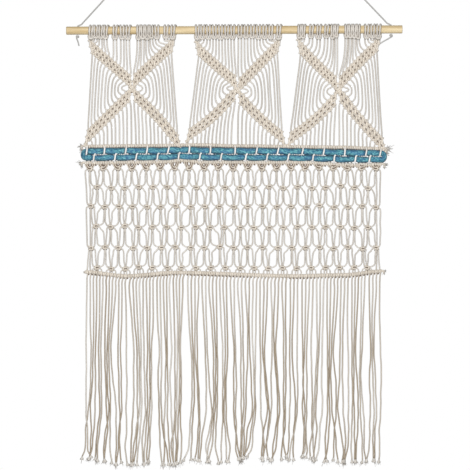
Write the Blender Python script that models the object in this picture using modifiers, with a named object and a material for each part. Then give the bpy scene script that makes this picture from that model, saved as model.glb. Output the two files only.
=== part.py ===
"""Macrame wall hanging with its dowel: crossed panels, a woven band, a knotted net and a fringe.

Lengths are in millimetres, and MM turns them into metres. X runs to the right of someone who looks
at the hanging on its wall, the front faces -Y, and Z is up. The origin lies midway between the tops
of the two hanging loops.
"""

import math

import bmesh
import bpy
from mathutils import Matrix, Vector

MM = 0.001
GAP = 0.3  # between pieces that touch
WELD = 0.001 * MM

# The dowel, and the two holes that its hanging cord runs through.
DOWEL_LENGTH = 600
DOWEL_DIAMETER = 14.5
DOWEL_Z = -84.0  # the axis, below the tops of the hanging loops
DOWEL_SLOPE = 0.0039  # it hangs a little higher at the right
DOWEL_CHAMFER = 0.8
DOWEL_SIDES = 20
HOLE_DIAMETER = 3.6
HOLE_X = 280
HOLE_SIDES = 12

# A solid strand of cotton cord has three sides, and their edges lie on a circle of this radius.
STRAND_RADIUS = 1.75

# Each horizontal bar is a row of double half hitches. Every bar keeps the wave that it hangs in.
BAR_RADIUS = 3.4
BAR_FLAT = 3.1  # from its middle up to its flat top, and a little more
BAR_RIDGES = 15
BAR_VALLEY = 0.84  # the radius between two ridges, as a share of the radius on a ridge
BAR_TAIL = 0.42  # the same for the loose end of the cord that the hitches hold
TAIL_LENGTH = 9
# columns: x, z
UPPER_BAR = (
    (-266, -291.7),
    (-165, -290.8),
    (-61, -289.3),
    (5, -291.1),
    (189, -293.4),
    (267, -296.1),
)
LOWER_BAR = (
    (-263, -321.5),
    (-133, -319.7),
    (-93, -317.2),
    (-52, -320.4),
    (117, -320.6),
    (207, -325.0),
    (264, -324.0),
)
FRINGE_BAR = (
    (-265, -516.2),
    (-192, -523.3),
    (-106, -517.2),
    (110, -523.3),
    (194, -521.5),
    (264, -514.7),
)

# columns: share of a knot's width from its middle, share of its radius
KNOT_SWELLS = ((-0.5, 1.0), (-0.25, 0.84), (0, 1.0), (0.25, 0.84), (0.5, 1.0))
HANGING_KNOT_SWELLS = ((-0.5, 0.62), (-0.28, 1.0), (0, 0.86), (0.28, 1.0), (0.5, 0.62))

# The three panels. A panel's heading is knotted round the dowel, four legs of three rows of hitches
# cross at its centre, and the lower legs end in the feet, on the upper bar.
# columns: name, heading left, heading right, centre x, centre z, left foot x, right foot x
PANELS = (
    ("panel_left", -260.0, -106.3, -182.4, -188.2, -264.2, -98.7),
    ("panel_middle", -69.5, 81.4, 5.4, -189.7, -82.9, 88.1),
    ("panel_right", 112.2, 260.9, 184.9, -190.4, 97.8, 266.9),
)
STRANDS_PER_HALF = 6  # of the fourteen real cords
HEADING_KNOTS = 14
HEADING_THICKNESS = 3.6
HEADING_STEPS = 8
HEADING_VALLEY = 1.2  # how much lower the heading is between two knots
LEG_ROW = 9.5  # upright, between the rows of one leg
LEG_THICKNESSES = (7.0, 6.7, 6.85, 6.55)  # no two alike, so that no faces coincide where legs cross
LEG_OVERLAP = 2.5  # how far a leg runs on past the centre
LEG_DROP = 29.5  # from the dowel's axis down to the outer end of an upper leg's middle row
LEG_INSET = 3.0
APEX_RISE = 11.5  # how far above or below the panel's centre the legs' middle rows meet
BEND = 4.5  # how far a strand leaves a leg at right angles
CENTRE_KNOT_WIDTH = 16
CENTRE_KNOT_RADIUS = 8.0
CENTRE_KNOT_FLATTEN = 0.75
INNER_REACH = 12.5  # how near its panel's centre the innermost side strand passes
OUTER_REACH = 75.5

# The woven band: one thick yarn, out and back, held by cords that pass over it in turn.
YARN_RADIUS = 4.0
YARN_ROW_GAP = 3.3
YARN_STEPS = 10
YARN_LEFT = -268
YARN_RIGHT = 264
TIE_RADIUS = 1.5
TIE_REACH = 6.5  # from the middle of a row of yarn to the middle of the cord round it
TIE_PINCH = 0.6  # how thin a cord is squeezed between the two rows
TIE_SINK = 1.0  # how far a tie's end lies below the lower bar's top, beside the bar
# columns: first x, spacing, number
UPPER_TIES = (-261, 37.0, 15)
LOWER_TIES = (-249, 37.9, 14)

# The net, at twice the pitch of the real one: eleven knots across, then ten, in turn.
NET_LEFT = -255.4
NET_PITCH = 51.0
NET_ACROSS = 11
NET_LEVELS = 3
NET_STRAND_RADIUS = 2.3
NET_KNOT_WIDTH = 20.8
NET_KNOT_RADIUS = 8.2
NET_KNOT_FLATTEN = 0.65
NET_SINK = 2.6  # how far above or below a knot's middle a strand begins
NET_MIDDLE = 2.8  # how far from a knot's middle its two centre strands hang
NET_SIDE = 7.5  # and its two side strands
NET_FAN = 12  # the same for the side strands where they come out of a bar
NET_BELLY = 2.5  # how much further out a side strand swings
NET_TURN = 0.12  # where it does so, as a share of the fall from one row to the next
NET_STRAIGHT = 0.72  # the share of the fall that a centre strand hangs straight
NET_LEAN = 0.8  # how far it drifts to its side on the way

# The fringe: every strand belongs to a bunch, which gathers as it hangs.
FRINGE_STRANDS = 84
FRINGE_LEFT = -263.4
FRINGE_SPAN = 523.3
FRINGE_ROOT = 40  # a strand has reached its stagger this far below the bar
STAGGER = 2.1  # neighbours hang this far in front of the middle plane and behind it
MIDDLE_Z = -709
# columns: last strand, then the bunch's left and right x in the middle and at the hem,
# and its hem's z at the left and at the right
BUNCHES = (
    (12, -264, -192, -268, -196, -846, -861),
    (20, -179, -150, -182, -152, -862, -857),
    (25, -135, -112, -133, -112, -862, -864),
    (29, -105, -96, -109, -93, -862, -856),
    (38, -76, -28, -82, -34, -851, -858),
    (41, -21, -12, -24, -9, -855, -855),
    (49, -1, 38, 3, 28, -856, -845),
    (57, 47, 93, 50, 88, -849, -851),
    (60, 99, 113, 98, 108, -849, -850),
    (67, 120, 158, 123, 151, -845, -850),
    (74, 167, 205, 165, 202, -854, -856),
    (79, 211, 231, 211, 232, -855, -855),
    (83, 242, 258, 240, 254, -852, -853),
)

# The hanging cord, one on each side: it runs through the dowel and ends in a stopper knot below it
# and in a loop, which hangs on a hook, at its top.
HANGING_DIAMETER = 2.6
KNOT_RADIUS = 3.4
BEND_RISE = 4.0  # it comes straight up out of its hole this far before it leans inwards
BEND_RUN = 1.2
SLOPE_RISE = 0.734  # the cord climbs this far for each millimetre of its length
SLOPE_RUN = 0.679
STOPPER_TAIL = ((0, 0), (0, 5), (1.2, 10), (4.5, 15))  # columns: inwards, down
LOOP_TOP_X = 205
LOOP_REACH = 26.5  # from the knot's middle to the top of the loop
LOOP_WIDTH = 9
# columns: how far along the loop, and how far out at one side, as shares of its length and width
LOOP_SHAPE = (
    (0.02, 0.00),
    (0.40, 0.42),
    (0.70, 0.46),
    (0.90, 0.24),
    (0.94, 0.00),
    (0.90, -0.24),
    (0.70, -0.46),
    (0.40, -0.42),
)

COLOURS = {
    "cotton": ((0.82, 0.77, 0.69), 0.9),
    "yarn": ((0.06, 0.25, 0.36), 0.95),
    "wood": ((0.74, 0.56, 0.32), 0.55),
    "grey_cord": ((0.60, 0.60, 0.60), 0.8),
}


def clear_scene():
    for obj in list(bpy.data.objects):
        bpy.data.objects.remove(obj, do_unlink=True)


def new_collection(name, hidden=False):
    collection = bpy.data.collections.new(name)
    bpy.context.scene.collection.children.link(collection)
    collection.hide_render = hidden
    return collection


def material(name):
    colour, roughness = COLOURS[name]
    made = bpy.data.materials.new(name)
    made.use_nodes = True
    shader = made.node_tree.nodes["Principled BSDF"]
    shader.inputs["Base Color"].default_value = (*colour, 1)
    shader.inputs["Roughness"].default_value = roughness
    shader.inputs["Metallic"].default_value = 0
    return made


def smooth_between(table, x):
    """The z of a wavy bar at x, read from its table of (x, z) with a soft turn at each row."""
    if x <= table[0][0]:
        return table[0][1]
    for (x0, z0), (x1, z1) in zip(table, table[1:]):
        if x <= x1:
            t = (x - x0) / (x1 - x0)
            return z0 + (z1 - z0) * (3 - 2 * t) * t * t
    return table[-1][1]


def dowel_z(x):
    return DOWEL_Z + DOWEL_SLOPE * x


def lerp(a, b, t):
    return a + (b - a) * t


# ---------------------------------------------------------------- shapes


def place(name, data):
    obj = bpy.data.objects.new(name, data)
    HANGING.objects.link(obj)
    return obj


def keep_only_in(obj, collection):
    for other in list(obj.users_collection):
        other.objects.unlink(obj)
    collection.objects.link(obj)


def section(radius, sides):
    """A guide that gives strands their cross-section."""
    curve = bpy.data.curves.new("strand_section", "CURVE")
    spline = curve.splines.new("POLY")
    spline.points.add(sides - 1)
    for i, point in enumerate(spline.points):
        turn = 2 * math.pi * i / sides
        point.co = (radius * MM * math.cos(turn), radius * MM * math.sin(turn), 0, 1)
    spline.use_cyclic_u = True
    guide = bpy.data.objects.new(curve.name, curve)
    GUIDES.objects.link(guide)
    guide.hide_render = True
    guide.display_type = "WIRE"
    return guide


def tubes(name, routes, radius=0, sides=0, resolution=1, cyclic=False, tilt=0):
    """One curve object with a straight-lined spline for each route, a list of (x, y, z, thickness)."""
    curve = bpy.data.curves.new(name, "CURVE")
    curve.dimensions = "3D"
    curve.use_fill_caps = True
    if sides:
        curve.bevel_mode = "OBJECT"
        curve.bevel_object = section(radius, sides)
    else:
        curve.bevel_depth = radius * MM
        curve.bevel_resolution = resolution
    for route in routes:
        spline = curve.splines.new("POLY")
        spline.points.add(len(route) - 1)
        for point, (x, y, z, thickness) in zip(spline.points, route):
            point.co = (x * MM, y * MM, z * MM, 1)
            point.radius = thickness
            point.tilt = tilt
        spline.use_cyclic_u = cyclic
    return place(name, curve)


def strands(name, routes, radius=STRAND_RADIUS):
    return as_mesh(tubes(name, routes, radius, sides=3))


def weld(mesh):
    shape = bmesh.new()
    shape.from_mesh(mesh)
    bmesh.ops.remove_doubles(shape, verts=shape.verts, dist=WELD)
    bmesh.ops.recalc_face_normals(shape, faces=shape.faces)
    shape.to_mesh(mesh)
    shape.free()


def as_mesh(obj):
    """Replaces a curve, or an object with modifiers, by a welded mesh of the same name."""
    graph = bpy.context.evaluated_depsgraph_get()
    graph.update()
    mesh = bpy.data.meshes.new_from_object(obj.evaluated_get(graph))
    weld(mesh)
    name, matrix = obj.name, obj.matrix_world.copy()
    bpy.data.objects.remove(obj, do_unlink=True)
    made = place(name, mesh)
    made.name = name
    made.matrix_world = matrix
    return made


def fuse(name, pieces):
    """Joins pieces that overlap into one body."""
    body = pieces[0]
    for i, piece in enumerate(pieces[1:]):
        union = body.modifiers.new(f"join_{i}", "BOOLEAN")
        union.operation = "UNION"
        union.solver = "EXACT"
        union.use_self = True  # strands of one object may cross
        union.object = piece
    body.name = name
    body = as_mesh(body)
    for piece in pieces[1:]:
        bpy.data.objects.remove(piece, do_unlink=True)
    return body


def finish(obj, slot):
    obj.data.materials.clear()
    obj.data.materials.append(MATERIALS[slot])
    return obj


def ridged_bar(name, table):
    """A row of hitches along a wavy line, with the held cord's loose end at each side."""
    left, right = table[0][0], table[-1][0]
    steps = 2 * BAR_RIDGES
    route = []
    for i in range(steps + 1):
        x = lerp(left, right, i / steps)
        route.append((x, 0, smooth_between(table, x), 1 if i % 2 else BAR_VALLEY))
    first_z, last_z = route[0][2], route[-1][2]
    left_tail = [(left - out, 0, first_z, BAR_TAIL) for out in (TAIL_LENGTH, 1)]
    right_tail = [(right + out, 0, last_z, BAR_TAIL) for out in (1, TAIL_LENGTH)]
    route = left_tail + route + right_tail
    return as_mesh(tubes(name, [route], BAR_RADIUS, resolution=1))


def bar_face(table, x, side):
    """The z of a bar's upper side (1) or lower side (-1) at x, with the gap that a neighbour keeps."""
    return smooth_between(table, x) + side * (BAR_FLAT + GAP)


def landed(route, table, radius=STRAND_RADIUS):
    """The route of (x, z) with its end set on a bar, so that a slanting strand's corner keeps the gap."""
    (x0, z0), (x, _) = route[-2:]
    face = bar_face(table, x, 1)
    lean = abs(x - x0) / math.hypot(x - x0, z0 - face)
    return [*route[:-1], (x, face + radius * lean)]


# ---------------------------------------------------------------- the dowel


def dowel_frame():
    """Where the dowel's axis lies: X runs along it."""
    tilt = Matrix.Rotation(-math.atan(DOWEL_SLOPE), 4, "Y")
    return Matrix.Translation((0, 0, DOWEL_Z * MM)) @ tilt


def make_dowel():
    bpy.ops.mesh.primitive_cylinder_add(
        vertices=DOWEL_SIDES, radius=DOWEL_DIAMETER / 2 * MM, depth=DOWEL_LENGTH * MM
    )
    dowel = bpy.context.object
    dowel.name = "dowel"
    keep_only_in(dowel, HANGING)
    dowel.matrix_world = dowel_frame() @ Matrix.Rotation(math.pi / 2, 4, "Y")
    edge = dowel.modifiers.new("sanded_ends", "BEVEL")
    edge.width = DOWEL_CHAMFER * MM
    edge.segments = 1
    for x in (-HOLE_X, HOLE_X):
        drill = dowel.modifiers.new("hole", "BOOLEAN")
        drill.operation = "DIFFERENCE"
        drill.object = hole_cutter(x)
    return finish(dowel, "wood")


def hole_cutter(x):
    bpy.ops.mesh.primitive_cylinder_add(
        vertices=HOLE_SIDES,
        radius=HOLE_DIAMETER / 2 * MM,
        depth=2 * DOWEL_DIAMETER * MM,
        location=(x * MM, 0, dowel_z(x) * MM),
    )
    cutter = bpy.context.object
    cutter.name = "hole_cutter"
    keep_only_in(cutter, GUIDES)
    cutter.hide_render = True
    cutter.display_type = "WIRE"
    return cutter


# ---------------------------------------------------------------- the panels


def make_heading(left, right):
    """A sleeve of knots round the dowel, turned about its axis."""
    inner = (DOWEL_DIAMETER / 2 + GAP) / math.cos(math.pi / HEADING_STEPS)
    outer = DOWEL_DIAMETER / 2 + HEADING_THICKNESS
    profile = [(left, inner)]
    for i in range(2 * HEADING_KNOTS + 1):
        x = lerp(left, right, i / (2 * HEADING_KNOTS))
        profile.append((x, outer if i % 2 else outer - HEADING_VALLEY))
    profile.append((right, inner))
    mesh = bpy.data.meshes.new("heading")
    shape = bmesh.new()
    corners = [shape.verts.new((x * MM, r * MM, 0)) for x, r in profile]
    for first, second in zip(corners, corners[1:] + corners[:1]):
        shape.edges.new((first, second))
    shape.to_mesh(mesh)
    shape.free()
    heading = place("heading", mesh)
    turn = heading.modifiers.new("turn", "SCREW")
    turn.axis = "X"
    turn.steps = HEADING_STEPS
    turn.render_steps = HEADING_STEPS
    turn.merge_threshold = WELD
    heading.matrix_world = dowel_frame()
    return as_mesh(heading)


def leg_outline(thickness):
    """The upright section of a leg: three rows of hitches, raised on both faces."""
    crest, valley = thickness / 2, thickness / 3
    edge = 1.5 * LEG_ROW
    front = [(-edge, 0)]
    for row in (-1, 0, 1):
        middle = row * LEG_ROW
        front += [(middle - LEG_ROW / 4, crest), (middle + LEG_ROW / 4, crest)]
        if row < 1:
            front.append((middle + LEG_ROW / 2, valley))
    front.append((edge, 0))
    back = [(rise, -out) for rise, out in reversed(front[1:-1])]
    return front + back


class Leg:
    """One leg of a panel, from the outer end of its middle row to the inner one, both (x, z)."""

    def __init__(self, outer, inner):
        self.outer, self.inner = Vector(outer), Vector(inner)
        self.along = (self.inner - self.outer).normalized()
        across = Vector((self.along.y, -self.along.x))
        self.below = across if across.y < 0 else -across

    def at(self, share, rows, out=0):
        """The point at a share of the leg's length, rows below its middle and out beyond that."""
        drop = Vector((0, -rows * LEG_ROW))
        return self.outer.lerp(self.inner, share) + drop + self.below * out

    def solid(self, thickness):
        inner = self.inner + self.along * LEG_OVERLAP
        span = inner - self.outer
        curve = bpy.data.curves.new("leg", "CURVE")
        curve.dimensions = "2D"
        curve.fill_mode = "BOTH"
        curve.extrude = 0.5
        spline = curve.splines.new("POLY")
        outline = leg_outline(thickness)
        spline.points.add(len(outline) - 1)
        for point, (rise, out) in zip(spline.points, outline):
            point.co = (rise, out, 0, 1)
        spline.use_cyclic_u = True
        leg = as_mesh(place("leg", curve))
        # The section stays upright while it follows the slope of the leg.
        axes = ((0, 0, 1), (0, 1, 0), (span.x, 0, span.y))
        middle = (self.outer + inner) / 2
        leg.data.transform(Matrix(axes).transposed().to_4x4())
        leg.data.transform(Matrix.Translation((middle.x, 0, middle.y)))
        leg.data.transform(Matrix.Scale(MM, 4))
        weld(leg.data)
        return leg


def knot(x, z, width, radius, flatten):
    """A ridged knot that lies along X, flat above and below, where its strands go in."""
    route = [(share * width, 0, 0, swell) for share, swell in KNOT_SWELLS]
    made = as_mesh(tubes("knot", [route], radius, resolution=0, tilt=math.pi / 4))
    made.data.transform(Matrix.Diagonal((1, flatten, 1, 1)))
    made.data.transform(Matrix.Translation((x * MM, 0, z * MM)))
    return made


def panel_legs(panel):
    """(side, upper leg, lower leg) for each half of a panel."""
    _, left, right, centre_x, centre_z, left_foot, right_foot = panel
    legs = []
    for side, edge, foot in ((-1, left, left_foot), (1, right, right_foot)):
        top_x = edge - side * LEG_INSET
        foot_z = bar_face(UPPER_BAR, foot, 1) + 1.5 * LEG_ROW
        upper = Leg((top_x, dowel_z(top_x) - LEG_DROP), (centre_x, centre_z + APEX_RISE))
        lower = Leg((foot, foot_z), (centre_x, centre_z - APEX_RISE))
        legs.append((side, upper, lower))
    return legs


def half_routes(panel, side, upper, lower):
    """The strands of one half: heading to upper leg, round to the lower leg, and down to the bar."""
    _, left, right, centre_x, *_ = panel
    edge = left if side < 0 else right
    routes = []
    for k in range(STRANDS_PER_HALF):
        share = (k + 0.5) / STRANDS_PER_HALF
        head_x = lerp(edge, (left + right) / 2, share)
        head = (head_x, dowel_z(head_x) - DOWEL_DIAMETER / 2 - HEADING_THICKNESS / 2)
        routes.append([head, upper.at(share, -1)])

        reach = lerp(OUTER_REACH, INNER_REACH, k / (STRANDS_PER_HALF - 1))
        start, first = upper.at(share, 1), upper.at(share, 1.5, BEND)
        last, end = lower.at(share, -1.5, -BEND), lower.at(share, -1)
        middle = (centre_x + side * reach, (first.y + last.y) / 2)
        bends = [first, middle, last] if first.y - last.y > 2 * BEND else [middle]
        routes.append([start, *bends, end])

        leave, turn = lower.at(share, 1), lower.at(share, 1.5, BEND)
        foot_x = lerp(lower.outer.x, centre_x, share)
        foot = (foot_x, bar_face(UPPER_BAR, foot_x, 1))
        bends = [turn] if turn.y > foot[1] + BEND else []
        routes.append(landed([leave, *bends, foot], UPPER_BAR))
    return [[(x, 0, z, 1) for x, z in route] for route in routes]


def make_panel(panel):
    name, left, right, centre_x, centre_z, *_ = panel
    legs = panel_legs(panel)
    crossed = [leg for _, upper, lower in legs for leg in (upper, lower)]
    pieces = [leg.solid(thickness) for leg, thickness in zip(crossed, LEG_THICKNESSES)]
    pieces.append(knot(centre_x, centre_z, CENTRE_KNOT_WIDTH, CENTRE_KNOT_RADIUS, CENTRE_KNOT_FLATTEN))
    pieces.append(make_heading(left, right))
    routes = [route for half in legs for route in half_routes(panel, *half)]
    pieces.append(strands(name + "_strands", routes))
    return finish(fuse(name, pieces), "cotton")


# ---------------------------------------------------------------- the woven band


def band_middle(x):
    return (smooth_between(UPPER_BAR, x) + smooth_between(LOWER_BAR, x)) / 2


def yarn_turn(x, rise, angle):
    turn = math.radians(angle)
    return x + rise * math.cos(turn), 0, band_middle(x) + rise * math.sin(turn), 1


def make_yarn():
    """One closed round of thick yarn: the upper row, a turn, the lower row and a turn."""
    rise = YARN_RADIUS + YARN_ROW_GAP / 2
    xs = [lerp(YARN_LEFT + rise, YARN_RIGHT - rise, i / YARN_STEPS) for i in range(YARN_STEPS + 1)]
    upper = [(x, 0, band_middle(x) + rise, 1) for x in xs]
    lower = [(x, 0, band_middle(x) - rise, 1) for x in reversed(xs)]
    right_turn = [yarn_turn(xs[-1], rise, angle) for angle in (45, 0, -45)]
    left_turn = [yarn_turn(xs[0], rise, angle) for angle in (225, 180, 135)]
    route = upper + right_turn + lower + left_turn
    yarn = as_mesh(tubes("woven_yarn", [route], YARN_RADIUS, resolution=1, cyclic=True))
    return finish(yarn, "yarn")


def tie_routes():
    """The cords that pass over one row of yarn and behind the other."""
    rise = YARN_RADIUS + YARN_ROW_GAP / 2
    corner = TIE_REACH * math.sqrt(0.5)
    routes = []
    for (first, spacing, count), front in ((UPPER_TIES, -1), (LOWER_TIES, 1)):
        for i in range(count):
            x = first + spacing * i
            middle = band_middle(x)
            path = (
                (front * BAR_RADIUS / 2, smooth_between(UPPER_BAR, x), 1),
                (front * corner, middle + rise + corner, 1),
                (front * TIE_REACH, middle + rise, 1),
                (front * corner, middle + rise - corner, TIE_PINCH),
                (-front * corner, middle - rise + corner, TIE_PINCH),
                (-front * TIE_REACH, middle - rise, 1),
                (-front * BAR_RADIUS, bar_face(LOWER_BAR, x, 1) - TIE_SINK, 1),
            )
            routes.append([(x, y, z, thickness) for y, z, thickness in path])
    return routes


def make_upper_bar():
    bar = ridged_bar("upper_bar_row", UPPER_BAR)
    ties = strands("ties", tie_routes(), TIE_RADIUS)
    return finish(fuse("upper_bar", [bar, ties]), "cotton")


# ---------------------------------------------------------------- the net


def net_rows():
    """The rows of knots as lists of (x, z). The first row lies in the lower bar."""
    rows = []
    for level in range(NET_LEVELS + 1):
        shift = 0.5 * (level % 2)
        row = []
        for i in range(NET_ACROSS - level % 2):
            x = NET_LEFT + NET_PITCH * (i + shift)
            top, foot = smooth_between(LOWER_BAR, x), bar_face(FRINGE_BAR, x, 1)
            row.append((x, lerp(top, foot, level / NET_LEVELS)))
        rows.append(row)
    return rows


def link_routes(rows, level):
    """The two strands from each knot to each of its two neighbours in the next row."""
    routes = []
    is_first, is_last = level == 0, level == NET_LEVELS - 1
    for x, z in rows[level]:
        for end_x, end_z in rows[level + 1]:
            if abs(end_x - x) > 0.6 * NET_PITCH:
                continue
            side = 1 if end_x > x else -1
            fall = z - end_z
            first_z = z if is_first else z - NET_SINK
            leave = NET_FAN if is_first else NET_SIDE
            reach = NET_FAN if is_last else NET_SIDE
            inner = [
                (x + NET_MIDDLE * side, first_z),
                (x + (NET_MIDDLE + NET_LEAN) * side, z - NET_STRAIGHT * fall),
                (end_x - side * (reach + NET_BELLY), end_z + NET_TURN * fall),
                (end_x - side * reach, end_z + NET_SINK),
            ]
            outer = [
                (x + side * leave, first_z),
                (x + side * (leave + NET_BELLY), z - NET_TURN * fall),
                (end_x - (NET_MIDDLE + NET_LEAN) * side, end_z + NET_STRAIGHT * fall),
                (end_x - NET_MIDDLE * side, end_z + NET_SINK),
            ]
            for route in (inner, outer):
                routes.append(landed(route, FRINGE_BAR, NET_STRAND_RADIUS) if is_last else route)
    return routes


def edge_routes(rows):
    """The pairs that run straight down at both edges, past the shorter rows."""
    routes = []
    for level in range(0, NET_LEVELS, 2):
        for side, (x, z) in ((-1, rows[level][0]), (1, rows[level][-1])):
            to_bar = level + 2 > NET_LEVELS
            if to_bar:
                end_x, end_z = x, bar_face(FRINGE_BAR, x, 1)
            else:
                end_x, end_z = rows[level + 2][0 if side < 0 else -1]
                end_z += NET_SINK
            start_z = z if level == 0 else z - NET_SINK
            belly = NET_SIDE + NET_BELLY
            inner = [(x + NET_MIDDLE * side, start_z), (end_x + NET_MIDDLE * side, end_z)]
            outer = [
                (x + NET_SIDE * side, start_z),
                (x + belly * side, start_z - NET_TURN * (z - end_z)),
                (end_x + belly * side, end_z + NET_TURN * (z - end_z)),
                (end_x + NET_SIDE * side, end_z),
            ]
            for route in (inner, outer):
                routes.append(landed(route, FRINGE_BAR, NET_STRAND_RADIUS) if to_bar else route)
    return routes


def make_net():
    rows = net_rows()
    bar = ridged_bar("lower_bar_row", LOWER_BAR)
    centres = [centre for row in rows[1:NET_LEVELS] for centre in row]
    knots = [knot(x, z, NET_KNOT_WIDTH, NET_KNOT_RADIUS, NET_KNOT_FLATTEN) for x, z in centres]
    routes = [route for level in range(NET_LEVELS) for route in link_routes(rows, level)]
    routes += edge_routes(rows)
    routes = [[(x, 0, z, 1) for x, z in route] for route in routes]
    links = strands("net_links", routes, NET_STRAND_RADIUS)
    return finish(fuse("net", [bar, gather("net_knots", knots), links]), "cotton")


def gather(name, pieces):
    """Puts separate meshes into one object."""
    shape = bmesh.new()
    for piece in pieces:
        mesh = piece.data.copy()
        mesh.transform(piece.matrix_world)
        shape.from_mesh(mesh)
        bpy.data.meshes.remove(mesh)
        bpy.data.objects.remove(piece, do_unlink=True)
    mesh = bpy.data.meshes.new(name)
    shape.to_mesh(mesh)
    shape.free()
    return place(name, mesh)


# ---------------------------------------------------------------- the fringe


def fringe_route(index):
    """The centreline of one strand, from inside the bar to its hem."""
    first = 0
    for last, *columns in BUNCHES:
        if index <= last:
            break
        first = last + 1
    middle_left, middle_right, hem_left, hem_right, z_left, z_right = columns
    share = (index - first) / (last - first)
    top_x = FRINGE_LEFT + FRINGE_SPAN * index / (FRINGE_STRANDS - 1)
    top_z = smooth_between(FRINGE_BAR, top_x)
    out = STAGGER if index % 2 else -STAGGER
    middle_x = lerp(middle_left, middle_right, share)
    return [
        (top_x, 0, top_z, 1),
        (lerp(top_x, middle_x, 0.15), out, top_z - FRINGE_ROOT, 1),
        (middle_x, out, MIDDLE_Z, 1),
        (lerp(hem_left, hem_right, share), out, lerp(z_left, z_right, share), 1),
    ]


def make_fringe():
    bar = ridged_bar("fringe_bar", FRINGE_BAR)
    locks = strands("fringe_strands", [fringe_route(i) for i in range(FRINGE_STRANDS)])
    return finish(fuse("fringe", [bar, locks]), "cotton")


# ---------------------------------------------------------------- the hanging cord


def hanging_points(side):
    """(stopper knot, loop knot, direction of the loop) for the left (-1) or right (1) side."""
    x = side * HOLE_X
    stopper = Vector((x, dowel_z(x) - DOWEL_DIAMETER / 2 - 1.1 * GAP - KNOT_RADIUS))
    inwards = Vector((-side * SLOPE_RUN, SLOPE_RISE))
    loop_knot = Vector((side * LOOP_TOP_X, 0)) - inwards * LOOP_REACH
    return stopper, loop_knot, inwards


def cord_tube(name, route, cyclic=False):
    points = [(x, 0, z, 1) for x, z in route]
    return as_mesh(tubes(name, [points], HANGING_DIAMETER / 2, resolution=2, cyclic=cyclic))


def hanging_knot(name, centre, along):
    """A small overhand knot: two bulges, set along the cord."""
    points = []
    for share, swell in HANGING_KNOT_SWELLS:
        x, z = centre + along * share * 2 * KNOT_RADIUS
        points.append((x, 0, z, swell))
    return as_mesh(tubes(name, [points], KNOT_RADIUS, resolution=1))


def make_hanging_cord(side):
    word = "left" if side < 0 else "right"
    stopper, loop_knot, inwards = hanging_points(side)
    x = side * HOLE_X
    start = stopper.y + KNOT_RADIUS + GAP
    hole_top = dowel_z(x) + DOWEL_DIAMETER / 2
    route = [(x, lerp(start, hole_top, i / 3)) for i in range(4)]
    last = loop_knot - inwards * (KNOT_RADIUS + 1.5 * GAP)
    bend = (x - side * BEND_RUN, hole_top + BEND_RISE)
    span = Vector((last.x - bend[0], last.y - bend[1]))
    steps = round(span.length / (2.5 * HANGING_DIAMETER))
    route += [tuple(Vector(bend) + span * i / steps) for i in range(steps + 1)]
    finish(cord_tube(f"hanging_cord_{word}", route), "grey_cord")

    knotted = hanging_knot("stopper", stopper, Vector((0, 1)))
    tail = [(x - side * run, stopper.y - drop) for run, drop in STOPPER_TAIL]
    pieces = [knotted, cord_tube("tail", tail)]
    finish(fuse(f"stopper_knot_{word}", pieces), "grey_cord")

    round_loop = []
    across = Vector((inwards.y, -inwards.x))
    for along, out in LOOP_SHAPE:
        round_loop.append(loop_knot + inwards * along * LOOP_REACH + across * out * LOOP_WIDTH)
    knotted = hanging_knot("loop_knot", loop_knot, inwards)
    pieces = [knotted, cord_tube("loop", [tuple(p) for p in round_loop], cyclic=True)]
    finish(fuse(f"hanging_loop_{word}", pieces), "grey_cord")


def main():
    make_dowel()
    for panel in PANELS:
        make_panel(panel)
    make_upper_bar()
    make_yarn()
    make_net()
    make_fringe()
    for side in (-1, 1):
        make_hanging_cord(side)


clear_scene()
HANGING = new_collection("macrame_wall_hanging")
GUIDES = new_collection("guides", hidden=True)
MATERIALS = {name: material(name) for name in COLOURS}
main()
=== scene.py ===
"""Macrame wall hanging on a dowel, dressed round its CAD frame.

Sizes are in millimetres unless a comment says metres. +X is to the right in the photograph, +Z is up and the
front faces -Y. The hanging point is the origin.
"""

import math

import bpy
import numpy as np
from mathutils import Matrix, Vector


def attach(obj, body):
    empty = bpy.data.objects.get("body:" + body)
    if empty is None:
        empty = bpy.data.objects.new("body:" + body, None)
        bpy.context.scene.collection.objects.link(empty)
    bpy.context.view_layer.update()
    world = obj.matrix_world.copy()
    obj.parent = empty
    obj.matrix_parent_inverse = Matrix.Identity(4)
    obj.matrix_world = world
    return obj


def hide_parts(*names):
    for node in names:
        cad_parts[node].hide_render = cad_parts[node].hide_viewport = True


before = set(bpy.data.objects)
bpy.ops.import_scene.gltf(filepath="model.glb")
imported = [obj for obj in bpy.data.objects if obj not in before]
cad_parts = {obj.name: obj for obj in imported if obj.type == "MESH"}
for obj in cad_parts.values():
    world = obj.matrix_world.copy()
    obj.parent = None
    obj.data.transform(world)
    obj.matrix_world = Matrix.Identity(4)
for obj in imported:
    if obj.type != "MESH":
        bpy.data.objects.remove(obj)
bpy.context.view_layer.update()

MM = 0.001
SEED = 20
RNG = np.random.default_rng(SEED)

# ---- Sizes ----

# What the photograph shows at the hanging's depth
FRAME_CENTRE_X = 1.25
FRAME_CENTRE_Z = -450.1
FRAME_WIDTH = 839.4
CAMERA_DISTANCE = 4000.0
SENSOR_WIDTH = 36.0

# Dowel
DOWEL_LENGTH = 600.0
DOWEL_RADIUS = 7.25
DOWEL_MIDDLE_Z = -84.0
DOWEL_RISE = 0.0039
CHAMFER = 0.8
DOWEL_SIDES = 64
DOWEL_STEPS = 40
HOLE_RADIUS = 1.8
HOLE_X = 280.0
DRILL_SIDES = 24
DRILL_REACH = 12.0

# Cotton cord, its columns along the bars, and the strands of a panel
CORD_RADIUS = 1.4
CORD_SIDES = 8
COLUMNS = 84
COLUMN_LEFT = -263.4
COLUMN_PITCH = 6.305
ROW_HITCHES = 12
YARN_LAY = 34.0

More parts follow.
